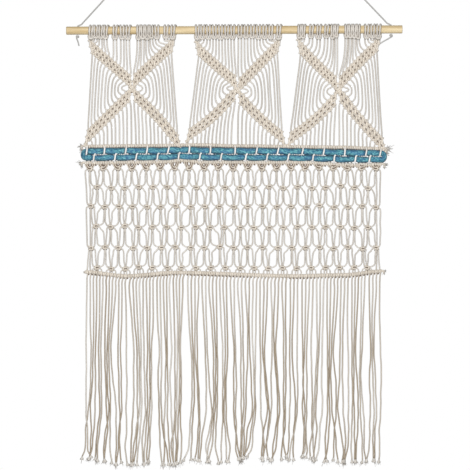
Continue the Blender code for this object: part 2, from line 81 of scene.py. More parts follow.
# The bars, as x and z along each
UPPER_BAR = (
    (-266.0, -291.7), (-165.0, -290.8), (-61.0, -289.3), (5.0, -291.1), (189.0, -293.4), (267.0, -296.1)
)
LOWER_BAR = (
    (-263.0, -321.5), (-133.0, -319.7), (-93.0, -317.2), (-52.0, -320.4), (117.0, -320.6), (207.0, -325.0),
    (264.0, -324.0),
)
FRINGE_BAR = (
    (-265.0, -516.2), (-192.0, -523.3), (-106.0, -517.2), (110.0, -523.3), (194.0, -521.5), (264.0, -514.7)
)
# A wrap of a hitch: how far its cord's middle lies from the row's line, and its cord's radius
HITCH_REACH = 1.35
HITCH_RADIUS = 1.65
WRAP_POINTS = 12
# How far each wrap lies from the hitch's middle, as a share of the pitch, and how far it leans along the row
WRAP_OFFSET = 0.24
WRAP_LEAN = 0.35

# The lark's heads of each panel, in groups along the dowel
# columns: heads, first and last x, how far their tops lean right
LEFT_HEADS = (
    (4, -256, -230, 2.0),
    (1, -213, -213, 1.5),
    (2, -200, -190, 1.0),
    (4, -171, -148, 0.0),
    (1, -138, -138, 0.5),
    (2, -122, -110, 1.0),
)
MIDDLE_HEADS = ((2, -66, -57, 1.0), (5, -46, -3, 0.0), (6, 10, 65, 0.5), (1, 79, 79, 1.0))
RIGHT_HEADS = (
    (2, 116, 123, 1.0),
    (3, 137, 164, 2.5),
    (2, 175, 182, 1.0),
    (4, 200, 221, 1.0),
    (3, 236, 257, 1.0),
)
# columns: name, heads, centre x and z, left and right foot x, left and right gap under the centre
PANELS = (
    ("panel_left", LEFT_HEADS, -182.4, -188.2, -264.2, -98.7, 1.4, 6.0),
    ("panel_middle", MIDDLE_HEADS, 5.4, -189.7, -82.9, 88.1, 11.3, 1.0),
    ("panel_right", RIGHT_HEADS, 184.9, -190.4, 97.8, 266.9, 7.2, 2.8),
)
# The upper and the lower leg of a half panel. Starts lie inwards and up from the heading's edge or the foot,
# ends outwards and up from the panel's centre. columns: the middle line's start, its end, the starts of the
# three rows, their ends
LEGS = (
    ((3.0, -30.3), (4.1, 11.6), (1.0, 3.0, 5.4), (4.4, 2.6, 1.6)),
    ((1.0, 14.0), (4.1, -14.0), (2.4, 0.2, -2.4), (2.4, 4.4, 5.4)),
)
ROW_PITCH = 6.7
# How far each leg's middle line lies above a straight one at these shares of its length. For each panel, the
# left half's upper and lower leg, then the right half's
SHIFT_SHARES = (0.12, 0.5, 0.85)
LEG_SHIFTS = (
    (((1.5, 1.5, 1.5), (2.0, 2.0, 2.0)), ((3.5, 3.5, 2.5), (-3.5, 1.0, 2.0))),
    (((-1.0, -0.5, 1.0), (2.0, -0.5, 2.5)), ((2.5, 0.5, -1.5), (0.5, -2.0, -1.0))),
    (((0.5, 0.0, 0.5), (-1.0, -4.5, -3.0)), ((3.5, 3.0, 1.0), (-4.5, -3.0, 1.0))),
)
# Half a lark's head's width, its cord's radius and gap to the dowel, and its points' angles round the dowel:
# from below to the front, over the top, and down the back
HEAD_HALF = 4.0
HEAD_RADIUS = 2.0
HEAD_GAP = 0.15
LOW_ANGLES = (-52, -20)
FRONT_ANGLES = (10, 40, 70, 100)
BACK_ANGLES = (130, 160, 190, 220, 250, 275)
# How far inwards of a foot its outer strands land on the bar, and how near the centre the side strands hang
FOOT_INSET = 10.0
INNER_REACH = 19.0

# ---- Tubes ----


def unit(vector):
    """The vector at a length of one."""
    vector = np.asarray(vector, float)
    return vector / np.linalg.norm(vector)


def circle(count, start=0.0):
    """The cosines and the sines of this many angles round a circle."""
    angle = np.linspace(0, math.tau, count, endpoint=False) + start
    return np.cos(angle), np.sin(angle)


def frames(path, closed):
    """Two unit vectors across each point of a path, turning as little as they can."""
    ahead = np.roll(path, -1, axis=0) - np.roll(path, 1, axis=0)
    if not closed:
        ahead[0] = path[1] - path[0]
        ahead[-1] = path[-1] - path[-2]
    ahead /= np.linalg.norm(ahead, axis=1, keepdims=True)
    side = np.empty_like(path)
    last = np.array((0.0, -1.0, 0.0))
    if abs(ahead[0] @ last) > 0.9:
        last = np.array((1.0, 0.0, 0.0))
    for i, along in enumerate(ahead):
        last = unit(last - along * (last @ along))
        side[i] = last
    return side, np.cross(ahead, side)


class Threads:
    """Tubes gathered into one mesh. Its map holds the distance along each and the share of the way round."""

    def __init__(self):
        self.points, self.faces, self.places, self.tones, self.caps = [], [], [], [], []
        self.count = 0

    def add(self, path, radius, sides=CORD_SIDES, closed=False, tone=None, profile=1.0):
        """A tube along a path. profile scales each ring's radius and tone dims it; a tone below zero paints
        the tube as shadow.
        """
        path = np.asarray(path, float)
        rings = len(path)
        side, other = frames(path, closed)
        cos, sin = circle(sides)
        across = side[:, None] * cos[:, None] + other[:, None] * sin[:, None]
        reach = np.broadcast_to(np.reshape(radius, (-1, 1)) * profile, (rings, sides))
        self.points.append((path[:, None] + across * reach[:, :, None]).reshape(-1, 3))
        step = np.linalg.norm(np.diff(path, axis=0, append=path[:1]), axis=1)
        along = np.concatenate([[0.0], np.cumsum(step)]) + RNG.uniform(0, 50)
        i, j = np.indices((rings if closed else rings - 1, sides)).reshape(2, -1)
        after, beside_j = (i + 1) % rings * sides, (j + 1) % sides
        corners = np.stack([i * sides + j, i * sides + beside_j, after + beside_j, after + j], 1)
        self.faces.append(corners + self.count)
        distance = np.stack([along[i], along[i], along[i + 1], along[i + 1]], 1)
        round_share = np.stack([j, j + 1, j + 1, j], 1) / sides
        self.places.append(np.stack([distance, round_share], 2).reshape(-1, 2))
        if not closed:
            first = np.arange(sides) + self.count
            last = first + (rings - 1) * sides
            self.caps += [(first[::-1].tolist(), along[0]), (last.tolist(), along[rings - 1])]
        own = RNG.uniform() if tone is None else tone
        self.tones.append(np.repeat(np.broadcast_to(own, (rings,)), sides))
        self.count += rings * sides

    def curve(self, points, spacing, radius, **more):
        """A tube along a smooth curve through these points."""
        self.add(smooth_line(points, spacing), radius, **more)

    def gap(self, points, radius, tone=-1.0):
        """A dark tube, painted shadow in a gap between cords."""
        self.add(points, radius, sides=6, tone=tone)

    def build(self, name, material, replaced, slot):
        """Makes the piece of all its tubes."""
        faces = np.concatenate(self.faces).tolist() + [corners for corners, _ in self.caps]
        cap_places = [np.tile((distance, 0.5), (len(corners), 1)) for corners, distance in self.caps]
        places = np.concatenate(self.places + cap_places)
        mesh = bpy.data.meshes.new(name)
        mesh.from_pydata((np.concatenate(self.points) * MM).tolist(), [], faces)
        layer = mesh.uv_layers.new(name="along")
        layer.uv.foreach_set("vector", places.astype(np.float32).ravel())
        tone = mesh.attributes.new("tone", "FLOAT", "POINT")
        tone.data.foreach_set("value", np.concatenate(self.tones).astype(np.float32))
        mesh.shade_smooth()
        return place(name, mesh, material, replaced)


def linked(name, data):
    """A new object in the scene."""
    found = bpy.data.objects.new(name, data)
    bpy.context.scene.collection.objects.link(found)
    return found


def place(name, mesh, material, replaced):
    """Puts a mesh in the scene as a piece that rides on the root body."""
    piece = linked(name, mesh)
    mesh.materials.append(material)
    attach(piece, "root")
    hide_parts(*replaced)
    return piece


def smooth_line(points, spacing):
    """A smooth curve through these points, at about this spacing."""
    points = np.asarray(points, float)
    padded = np.vstack([2 * points[0] - points[1], points, 2 * points[-1] - points[-2]])
    found = []
    for i in range(len(points) - 1):
        a, b, c, d = padded[i : i + 4]
        steps = max(1, int(round(np.linalg.norm(c - b) / spacing)))
        t = (np.arange(steps) / steps)[:, None]
        found.append(
            0.5 * (2 * b + (c - a) * t + (2 * a - 5 * b + 4 * c - d) * t**2 + (3 * b - a - 3 * c + d) * t**3)
        )
    found.append(points[-1:])
    return np.vstack(found)


def bezier(start, leave, arrive, end, spacing):
    """A curve from start to end, leaving towards one point and arriving from another."""
    start, leave, arrive, end = (np.asarray(p, float) for p in (start, leave, arrive, end))
    steps = max(3, int(round(np.linalg.norm(end - start) / spacing)))
    t = np.linspace(0, 1, steps + 1)[:, None]
    return (1 - t) ** 3 * start + 3 * (1 - t) ** 2 * t * leave + 3 * (1 - t) * t**2 * arrive + t**3 * end


def uneven(path, amount):
    """The path with a small slow sway, none at its ends."""
    share = np.linspace(0, 1, len(path))
    sway = np.zeros_like(path)
    for waves in (1.0, 2.3):
        for axis in (0, 1):
            wave = np.sin(math.tau * waves * share + RNG.uniform(0, math.tau))
            sway[:, axis] += wave * RNG.normal(0, 1) / waves
    return path + sway * (amount * np.sin(math.pi * share))[:, None]


def on_line(rows, x):
    """z at x along a row of (x, z), eased from each point to the next."""
    for (x0, z0), (x1, z1) in zip(rows, rows[1:]):
        if x <= x1:
            break
    t = min(max((x - x0) / (x1 - x0), 0.0), 1.0)
    return z0 + (z1 - z0) * t * t * (3 - 2 * t)


def beside(place_at, side, *offsets):
    """Points at these offsets from a place's x and z: out to one side, behind and up."""
    x, z = place_at
    return [(x + side * out, depth, z + up) for out, depth, up in offsets]


def flat(point, depth=0.0):
    """The point at this x and z."""
    return np.array((point[0], depth, point[1]))


def dowel_z(x):
    """z of the dowel's axis at x."""
    return DOWEL_MIDDLE_Z + DOWEL_RISE * x


def column_x(i):
    """x of a column of hitches on the bars."""
    return COLUMN_LEFT + COLUMN_PITCH * i


# ---- Materials ----

WHITE = (1, 1, 1, 1)
PLIES = 4
# Cotton: a dim strand, the same in the fringe where it also paints shade, worn spots, painted shade on the
# flanks and painted shadow in gaps
DIM_STRAND = (0.86, 0.85, 0.835, 1)
# The fringe's dim strand, which also stands for painted shade where its strands crowd and lower down
FRINGE_DIM_AND_SHADE = (0.62, 0.55, 0.46, 1)
WORN_COTTON = (0.88, 0.84, 0.79, 1)
# Painted shade for the cord's flanks
FLANK_SHADE_COLOUR = (0.44, 0.405, 0.37, 1)
# Painted shadow, for the dark tubes in gaps between cords
GAP_SHADOW_COLOUR = (0.17, 0.12, 0.085, 1)
YARN_DEEP = (0.012, 0.070, 0.150, 1)
YARN_MIDDLE = (0.052, 0.250, 0.345, 1)
YARN_LIGHT = (0.210, 0.530, 0.545, 1)
YARN_BLUE = (0.040, 0.130, 0.310, 1)
# Painted shade on the yarn
YARN_SHADE_COLOUR = (0.008, 0.045, 0.090, 1)
WOOD_DEEP = (0.54, 0.40, 0.20, 1)
WOOD_LIGHT = (0.78, 0.65, 0.41, 1)
WOOD_PORES = (0.45, 0.32, 0.16, 1)


class Nodes:
    """A material's node tree, with short names for what is used most."""

    def __init__(self, name):
        self.material = bpy.data.materials.new(name)
        self.material.use_nodes = True
        self.tree = self.material.node_tree
        self.shader = self.tree.nodes["Principled BSDF"]

    def feed(self, socket, value):
        """Links an input to another node's output, or sets its value."""
        if isinstance(value, bpy.types.NodeSocket):
            self.tree.links.new(value, socket)
        else:
            socket.default_value = value

    def new(self, kind, inputs=(), **settings):
        node = self.tree.nodes.new("ShaderNode" + kind)
        for name, value in settings.items():
            setattr(node, name, value)
        for name, value in dict(inputs).items():
            self.feed(node.inputs[name], value)
        return node

    def math(self, operation, first, second=0.0, third=0.0):
        return self.new("Math", {0: first, 1: second, 2: third}, operation=operation).outputs[0]

    def times(self, first, second):
        return self.math("MULTIPLY", first, second)

    def mix(self, share, first, second, blend="MIX"):
        inputs = {"Factor": share, 6: first, 7: second}
        return self.new("Mix", inputs, data_type="RGBA", blend_type=blend).outputs[2]

    def split(self, vector):
        return self.new("SeparateXYZ", {0: vector}).outputs

    def noise(self, scale, detail, **inputs):
        return self.new("TexNoise", {"Scale": scale, "Detail": detail, **inputs}).outputs["Fac"]

    def streaks(self, scale, detail, along, across):
        """Noise that is drawn out along the cord."""
        return self.noise(scale, detail, Vector=self.new("CombineXYZ", {0: along, 1: across}).outputs[0])

    def ramp(self, share, *stops):
        """Colours between stops, each a position and a colour."""
        node = self.new("ValToRGB", {"Fac": share})
        elements = node.color_ramp.elements
        elements[0].position, elements[0].color = stops[0]
        elements[1].position, elements[1].color = stops[-1]
        for position, colour in stops[1:-1]:
            elements.new(position).color = colour
        return node.outputs[0]

    def cord_map(self):
        """The distance along the cord, the share of the way round it, and its tone."""
        along, round_share, _ = self.split(self.new("UVMap", uv_map="along").outputs[0])
        return along, round_share, self.new("Attribute", attribute_name="tone").outputs["Fac"]

    def finish(self, colour, height, strength, depth, roughness):
        bump = self.new("Bump", {"Height": height, "Strength": strength, "Distance": depth * MM})
        self.feed(self.shader.inputs["Base Color"], colour)
        self.feed(self.shader.inputs["Normal"], bump.outputs[0])
        self.feed(self.shader.inputs["Roughness"], roughness)
        return self.material


def twisted(name, light, deep, lay, depth, flank_shade=1.0, dim=DIM_STRAND):
    """Twisted cord: plies wind round it once in each lay, with fibres along them, painted shade in the
    grooves between the plies and painted shade on its flanks.
    """
    n = Nodes(name)
    along, round_share, tone = n.cord_map()
    turns = n.math("DIVIDE", along, lay)
    phase = n.math("SUBTRACT", n.times(round_share, PLIES), turns)
    wave = n.math("COSINE", n.times(phase, math.tau))
    crown = n.math("POWER", n.math("MULTIPLY_ADD", wave, 0.5, 0.5), 0.6)
    fibre = n.streaks(2.5, 2.0, n.times(turns, 2.0), n.times(phase, 7.0))
    # The plies' crowns take the light colour and the grooves between them the deep one: painted shade in the
    # grooves, with fibre streaks
    shade = n.times(crown, n.math("MULTIPLY_ADD", fibre, 0.5, 0.75))
    spots = n.mix(n.times(n.noise(60.0, 3.0), 0.6), WHITE, WORN_COTTON)
    colour = n.mix(0.6, n.mix(shade, deep, light), spots, "MULTIPLY")
    colour = n.mix(1.0, colour, n.mix(tone, dim, WHITE), "MULTIPLY")
    # Painted shade on the flanks: darker where the surface faces sideways, and a little where it faces up or
    # down
    right, _, up = n.split(n.new("NewGeometry").outputs["Normal"])
    flank = n.math("MULTIPLY_ADD", n.times(up, up), 0.3, n.times(right, right))
    colour = n.mix(flank_shade, colour, n.mix(n.math("POWER", flank, 1.5), WHITE, FLANK_SHADE_COLOUR), "MULTIPLY")
    # A tone below zero paints the tube in the painted shadow colour
    colour = n.mix(n.times(tone, -1.0), colour, GAP_SHADOW_COLOUR)
    return n.finish(colour, n.math("MULTIPLY_ADD", fibre, 0.25, crown), 1.0, depth, 0.92)


def wool(name):
    """Thick hand-dyed yarn: long streaks of dark and light along it, with painted shade above and below and
    where its tone is low.
    """
    n = Nodes(name)
    along, round_share, tone = n.cord_map()
    phase = n.math("SUBTRACT", round_share, n.math("DIVIDE", along, YARN_LAY * 3))
    long = n.streaks(1.6, 3.0, n.times(along, 0.11), n.times(phase, 9.0))
    fine = n.streaks(1.5, 2.0, n.times(along, 0.5), n.times(phase, 40.0))
    patch = n.streaks(1.0, 1.0, n.times(along, 0.045), n.times(phase, 2.0))
    shade = n.math("MULTIPLY_ADD", n.math("SUBTRACT", fine, 0.5), 1.1, long)
    colour = n.ramp(shade, (0.36, YARN_DEEP), (0.5, YARN_MIDDLE), (0.64, YARN_LIGHT))
    blue = n.new("MapRange", {0: patch, 1: 0.46, 2: 0.62}).outputs[0]
    colour = n.mix(n.times(blue, 0.5), colour, YARN_BLUE)
    # Painted shade: darker where the surface faces up or down, and where the tone is low
    up = n.split(n.new("NewGeometry").outputs["Normal"])[2]
    edge = n.times(n.math("POWER", n.times(up, up), 1.1), 0.9)
    edge = n.math("MAXIMUM", edge, n.math("SUBTRACT", 1.0, tone))
    n.feed(n.shader.inputs["Sheen Weight"], 0.1)
    return n.finish(n.mix(edge, colour, YARN_SHADE_COLOUR), fine, 1.0, 0.4, 0.92)


def wood(name):
    """Pale softwood with its grain and pores along the dowel."""
    n = Nodes(name)
    place_on = n.new("TexCoord").outputs["Object"]
    grain = n.new("Mapping", {"Vector": place_on, "Scale": (3.0, 60.0, 60.0)}).outputs[0]
    fine = n.new("Mapping", {"Vector": place_on, "Scale": (14.0, 420.0, 420.0)}).outputs[0]
    bands = n.noise(4.0, 4.0, Vector=grain, Distortion=0.4)
    pores = n.noise(3.0, 3.0, Vector=fine)
    colour = n.ramp(bands, (0.32, WOOD_DEEP), (0.62, WOOD_LIGHT))
    return n.finish(n.mix(n.times(pores, 0.35), colour, WOOD_PORES), pores, 0.5, 0.15, 0.62)


def floor_material():
    n = Nodes("floor")
    grain = n.noise(6.0, 2.0)
    return n.finish(n.mix(grain, (0.80, 0.80, 0.80, 1), (0.84, 0.84, 0.835, 1)), grain, 0.1, 0.2, 0.8)


# In each: name, light and deep colour of the plies, lay, depth of the bumps, share of painted shade on the
# flanks
COTTON = twisted("cotton", (0.76, 0.73, 0.685, 1), (0.55, 0.51, 0.46, 1), 8.0, 0.22)
KNOT_COTTON = twisted("knot_cotton", (0.85, 0.795, 0.71, 1), (0.655, 0.585, 0.50, 1), 8.0, 0.25, 0.5)
TIE_COTTON = twisted("tie_cotton", (0.95, 0.95, 0.94, 1), (0.84, 0.84, 0.84, 1), 9.0, 0.2, 0.3)
YARN = wool("teal_yarn")
FRINGE_COTTON = twisted(
    "fringe_cotton", (0.78, 0.745, 0.69, 1), (0.54, 0.50, 0.445, 1), 8.0, 0.22, dim=FRINGE_DIM_AND_SHADE
)
FRAY_COTTON = twisted("frayed_cotton", (0.74, 0.715, 0.675, 1), (0.56, 0.53, 0.49, 1), 8.0, 0.1, 0.35)
GREY_CORD = twisted("grey_cord", (0.60, 0.60, 0.59, 1), (0.36, 0.36, 0.36, 1), 7.0, 0.25)
WOOD = wood("pine")

# ---- Camera, light and floor ----

# In metres
CLIP_END = 100.0
LIGHT_TARGET = (0.0, 0.0, -0.42)
FLOOR_REACH = 1.4
FLOOR_Z = -1.2
# columns: name, place and size in metres, power in watts
LIGHTS = (
    ("key", (-0.4, -2.9, 0.8), 0.7, 68.0),
    ("front", (0.5, -3.4, -0.2), 0.9, 50.0),
    ("back", (0.5, 2.8, 0.8), 1.6, 65.0),
)
# The world's light on the hanging, and its brightness where the camera sees it
FILL_STRENGTH = 0.06
SEEN_STRENGTH = 1.0


def add_light(name, place_at, size, power):
    data = bpy.data.lights.new(name, "AREA")
    data.shape = "SQUARE"
    data.size = size
    data.energy = power
    lamp = linked(name, data)
    lamp.location = place_at
    aim = Vector(np.subtract(LIGHT_TARGET, place_at))
    lamp.rotation_euler = aim.to_track_quat("-Z", "Y").to_euler()
    lamp.visible_camera = False


def white_background(tree, strength):
    node = tree.nodes.new("ShaderNodeBackground")
    node.inputs["Color"].default_value = WHITE
    node.inputs["Strength"].default_value = strength
    return node.outputs[0]


def set_world():
    """Plain white where the camera looks past the hanging, and a faint fill on the hanging itself."""
    world = bpy.data.worlds.new("studio")
    bpy.context.scene.world = world
    world.use_nodes = True
    tree = world.node_tree
    tree.nodes.clear()
    out = tree.nodes.new("ShaderNodeOutputWorld")
    mix = tree.nodes.new("ShaderNodeMixShader")
    rays = tree.nodes.new("ShaderNodeLightPath")
    tree.links.new(rays.outputs["Is Camera Ray"], mix.inputs[0])
    tree.links.new(white_background(tree, FILL_STRENGTH), mix.inputs[1])
    tree.links.new(white_background(tree, SEEN_STRENGTH), mix.inputs[2])
    tree.links.new(mix.outputs[0], out.inputs[0])


def set_stage():
    scene = bpy.context.scene
    camera = bpy.data.cameras.new("camera")
    camera.sensor_width = SENSOR_WIDTH
    camera.lens = SENSOR_WIDTH * CAMERA_DISTANCE / FRAME_WIDTH
    camera.clip_end = CLIP_END
    eye = linked("camera", camera)
    eye.location = (FRAME_CENTRE_X * MM, -CAMERA_DISTANCE * MM, FRAME_CENTRE_Z * MM)
    eye.rotation_euler = (math.radians(90), 0, 0)
    scene.camera = eye
    scene.view_settings.view_transform = "Standard"
    set_world()
    for light in LIGHTS:
        add_light(*light)
    mesh = bpy.data.meshes.new("floor")
    corners = [(x * FLOOR_REACH, y * FLOOR_REACH, FLOOR_Z) for x, y in ((-1, -1), (1, -1), (1, 1), (-1, 1))]
    mesh.from_pydata(corners, [], [(0, 1, 2, 3)])
    floor = linked("floor", mesh)
    mesh.materials.append(floor_material())


# ---- Hanging cords ----

HANGING_RADIUS = 1.3
KNOT_POINTS = 14
KNOT_RADIUS = 3.4
LOOP_REACH = 26.5
LOOP_WIDTH = 9.0
# columns: along and out from the loop's knot, as shares of its reach and width
LOOP_SIDE = ((0.40, 0.42), (0.70, 0.46), (0.90, 0.24))
LOOP_SHAPE = ((0.02, 0.0), *LOOP_SIDE, (0.94, 0.0), *((a, -b) for a, b in LOOP_SIDE[::-1]))
# Above the hole each leg is straight, from this x to its top
STRAIGHT_X = 272.8
TOP_X = 225.61
TOP_Z = -22.28
STRAIGHT_POINTS = 12
STOPPER_RADIUS = 3.0
# The cord's cut end, as points inwards and down from the knot under the dowel
LEFT_TAIL = ((0.0, 0.0), (-1.6, 2.6), (0.3, 7.8), (1.9, 13.6), (2.6, 16.6))
RIGHT_TAIL = ((0.0, 0.0), (-1.8, 1.6), (5.0, 6.0), (14.0, 11.0), (21.0, 15.5))
# columns: name, side, z of the cord's points in its hole, z where its straight part starts, tail
HANGING_LEGS = (
    ("left", -1, (-92.37, -87.53, -82.69, -77.84), -73.84, LEFT_TAIL),
    ("right", 1, (-90.19, -85.34, -80.50, -75.66), -71.66, RIGHT_TAIL),
)


def hanging_route(side, foot_z, first_z):
    """The cord's middle line, from the knot under the dowel to its top."""
    x = STRAIGHT_X + (TOP_X - STRAIGHT_X) * np.linspace(0, 1, STRAIGHT_POINTS)
    z = first_z + (TOP_Z - first_z) * np.linspace(0, 1, STRAIGHT_POINTS)
    return beside((0.0, 0.0), side, *[(HOLE_X, 0.0, low) for low in foot_z], *zip(x, np.zeros_like(x), z))


def knot_ball(threads, centre, radius, cord):
    """A small overhand knot: two crossing turns of the cord."""
    cos, sin = circle(KNOT_POINTS)
    reach = radius - cord
    for tilt in (0.5, -0.7):
        height = sin * reach * math.copysign(0.75, tilt) + cos * tilt * 0.6
        threads.add(np.stack([cos * reach, sin * reach * 0.62, height], 1) + centre, cord, closed=True)


def grey_piece(kind, name, threads):
    """A piece of the hanging cord, in the place of the node of the same name."""
    return threads.build(kind + name, GREY_CORD, [kind + name], "grey_cord")


def hang_cord(name, side, foot_z, first_z, tail):
    """One leg of the hanging cord, from its knot under the dowel to its loop just outside the view."""
    route = np.array(hanging_route(side, foot_z, first_z))
    loop, stopper, cord = Threads(), Threads(), Threads()
    direction = unit(route[-1] - route[-2])
    out = np.array((-direction[2], 0.0, direction[0])) * side
    knot_at = route[-1] + direction * KNOT_RADIUS * 1.1
    knot_ball(loop, knot_at, KNOT_RADIUS, HANGING_RADIUS)
    shape = [knot_at + direction * LOOP_REACH * a + out * LOOP_WIDTH * b for a, b in LOOP_SHAPE]
    loop.add(smooth_line(shape + shape[:1], 2.0)[:-1], HANGING_RADIUS, closed=True)
    top_loop = grey_piece("hanging_loop_", name, loop)
    under = np.array((side * HOLE_X, 0.0, foot_z[0] - KNOT_RADIUS))
    knot_ball(stopper, under, STOPPER_RADIUS, HANGING_RADIUS)
    tail_line = smooth_line([under + (-side * inwards, 0.6, -down) for inwards, down in tail], 1.5)
    stopper.add(tail_line, np.linspace(HANGING_RADIUS, 1.1, len(tail_line)))
    foot_knot = grey_piece("stopper_knot_", name, stopper)
    cord.curve(route, 1.5, HANGING_RADIUS, sides=12)
    piece = grey_piece("hanging_cord_", name, cord)


# ---- Dowel ----


def rod(name, rings):
    """A closed mesh through rings of points, all with the same number of corners."""
    sides, last = len(rings[0]), (len(rings) - 1) * len(rings[0])
    faces = []
    for start in range(0, last, sides):
        for j in range(sides):
            k = (j + 1) % sides
            faces.append((start + j, start + k, start + sides + k, start + sides + j))
    faces += [tuple(range(sides))[::-1], tuple(range(last, last + sides))]
    mesh = bpy.data.meshes.new(name)
    mesh.from_pydata((np.concatenate(rings) * MM).tolist(), [], faces)
    return mesh


def drilled(mesh):
    """The dowel's mesh with the two holes for the hanging cord."""
    blank = linked("blank", mesh)
    cos, sin = circle(DRILL_SIDES)
    drills = []
    for x in (-HOLE_X, HOLE_X):
        ring = np.stack([x + cos * HOLE_RADIUS, sin * HOLE_RADIUS, np.full_like(cos, dowel_z(x))], 1)
        drills.append(linked("drill", rod("drill", [ring - (0, 0, DRILL_REACH), ring + (0, 0, DRILL_REACH)])))
        cut = blank.modifiers.new("hole", "BOOLEAN")
        cut.operation = "DIFFERENCE"
        cut.solver = "EXACT"
        cut.object = drills[-1]
    bpy.context.view_layer.update()
    found = bpy.data.meshes.new_from_object(blank.evaluated_get(bpy.context.evaluated_depsgraph_get()))
    for helper in drills + [blank]:
        bpy.data.objects.remove(helper)
    found.name = "dowel_drilled"
    return found


def make_dowel():
    """The drilled rod, with a small chamfer at each end."""
    cos, sin = circle(DOWEL_SIDES)
    half = DOWEL_LENGTH / 2
    sections = [(x, DOWEL_RADIUS) for x in np.linspace(CHAMFER - half, half - CHAMFER, DOWEL_STEPS + 1)]
    sections = [(-half, DOWEL_RADIUS - CHAMFER), *sections, (half, DOWEL_RADIUS - CHAMFER)]
    rings = []
    for x, radius in sections:
        rings.append(np.stack([np.full_like(cos, x), cos * radius, dowel_z(x) + sin * radius], 1))
    mesh = drilled(rod("dowel_wood", rings))
    place("dowel_wood", mesh, WOOD, ["dowel"])
    mesh.shade_smooth()
    mesh.set_sharp_from_angle(angle=math.radians(35))


# ---- Hitches and knots ----


def ring(threads, centre, axis, reach, radius, tone):
    """One wrap of a cord round a carrier, a little flattened in front and behind."""
    cos, sin = np.array(circle(WRAP_POINTS, RNG.uniform(0, 0.4)))[:, :, None]
    along = np.array((axis[0], 0.0, axis[1]))
    across = np.array((-axis[1], 0.0, axis[0]))
    square = (np.abs(cos) ** 3 + np.abs(sin) ** 3) ** (-1 / 3)
    behind = np.array((0.0, 1.05, 0.0))
    points = centre + square * reach * (cos * across + sin * behind) + cos * WRAP_LEAN * along
    threads.add(points, radius * RNG.uniform(0.95, 1.05), sides=7, closed=True, tone=tone)


def hitch_row(threads, places, reach=HITCH_REACH, radius=HITCH_RADIUS, open_share=0.0):
    """Double half hitches, two wraps each, at these (x, z) places. open_share of each is left open."""
    places = np.asarray(places, float)
    step = np.gradient(places, axis=0)
    pitch = np.linalg.norm(step, axis=1)
    step /= pitch[:, None]
    for place_at, along, apart in zip(places, step, pitch):
        tone = RNG.uniform()
        for side in (-WRAP_OFFSET, WRAP_OFFSET):
            jitter = RNG.normal(0, 0.12, 3)
            centre = flat(place_at + along * side * apart * (1.0 - open_share)) + jitter
            ring(threads, centre, along, reach, radius, tone)


def carrier(threads, places, before, after, tone=None):
    """The cord that runs through a row, and this far past its ends."""
    start = places[0] + unit(places[0] - places[1]) * before
    end = places[-1] + unit(places[-1] - places[-2]) * after
    threads.add([flat(point) for point in (start, *places, end)], CORD_RADIUS, sides=6, tone=tone)


# ---- Panels ----


def round_dowel(x, angle):
    """A point on the cord's way round the dowel: 0 is in front, 90 on top and 180 behind."""
    reach = DOWEL_RADIUS + CORD_RADIUS + HEAD_GAP
    a = math.radians(angle)
    return (x, -math.cos(a) * reach, dowel_z(x) + math.sin(a) * reach)


def head_line(x, spread, room, lean, sag):
    """A lark's head from its left strand to its right strand, below the dowel."""
    halves = []
    middle = (x, dowel_z(x))
    outer = min(spread + 1.7, room)
    for side in (-1, 1):
        half = beside(middle, side, (1.10 * spread, -0.9, -18.5), (1.00 * spread, -2.4, -13.5))
        for angle, width in zip(LOW_ANGLES, (0.85, 1.0)):
            half.append(round_dowel(x + side * width * spread, angle))
        for angle in FRONT_ANGLES:
            share = (angle - LOW_ANGLES[-1]) / (FRONT_ANGLES[-1] - LOW_ANGLES[-1])
            out = spread + (outer - spread) * share * 0.4
            half.append(round_dowel(x + lean * share + side * out, angle))
        for angle in BACK_ANGLES:
            share = (BACK_ANGLES[-1] - angle) / (BACK_ANGLES[-1] - BACK_ANGLES[0])
            half.append(round_dowel(x + lean * share + side * outer, angle))
        half += beside(middle, side, (outer - 0.1, -4.4, sag - 12.6), (outer * 0.55, -6.2, sag - 14.8))
        halves.append(half)
    return halves[0] + halves[1][::-1]


def leg_rows(side, edge, foot, centre, shifts):
    """The hitched rows of half a panel, upper leg then lower leg, as their hitches' places from outside."""
    found = []
    starts = ((edge, dowel_z(edge)), (foot, on_line(UPPER_BAR, foot)))
    for (x, z), (start, end, row_starts, row_ends), bend in zip(starts, LEGS, shifts):
        inner = (centre[0] + side * end[0], centre[1] + end[1])
        leg = Leg((x - side * start[0], z + start[1]), inner, bend)
        rows = []
        for across, first, last in zip((1, 0, -1), row_starts, row_ends):
            rows.append(leg.row(across, x - side * first, centre[0] + side * last))
        found.append(rows)
    return found


class Leg:
    """The middle line of a leg, straight but for a small bend."""

    def __init__(self, outer, inner, shifts):
        self.start = np.array(outer)
        self.way = np.array(inner) - self.start
        self.up = unit((-self.way[1], self.way[0]))
        self.up *= math.copysign(1.0, self.up[1])
        self.bend = np.polyfit(SHIFT_SHARES, shifts, 2)

    def row(self, across, first_x, last_x):
        """The places of a row's hitches, from its outer end. across is 1, 0 or -1 from the upper row down."""
        share = (np.arange(ROW_HITCHES) + 0.2) / (ROW_HITCHES - 0.7)
        x = first_x + (last_x - first_x) * share
        for _ in range(3):
            off = np.polyval(self.bend, np.clip(share, 0.06, 0.95)) + across * ROW_PITCH
            share = (x - self.start[0] - self.up[0] * off) / self.way[0]
        return self.start + self.way * share[:, None] + self.up * off[:, None]


def across_row(places):
    """The unit vector across a row, pointing down."""
    along = places[-1] - places[0]
    down = unit((along[1], -along[0]))
    return down if down[1] < 0 else -down


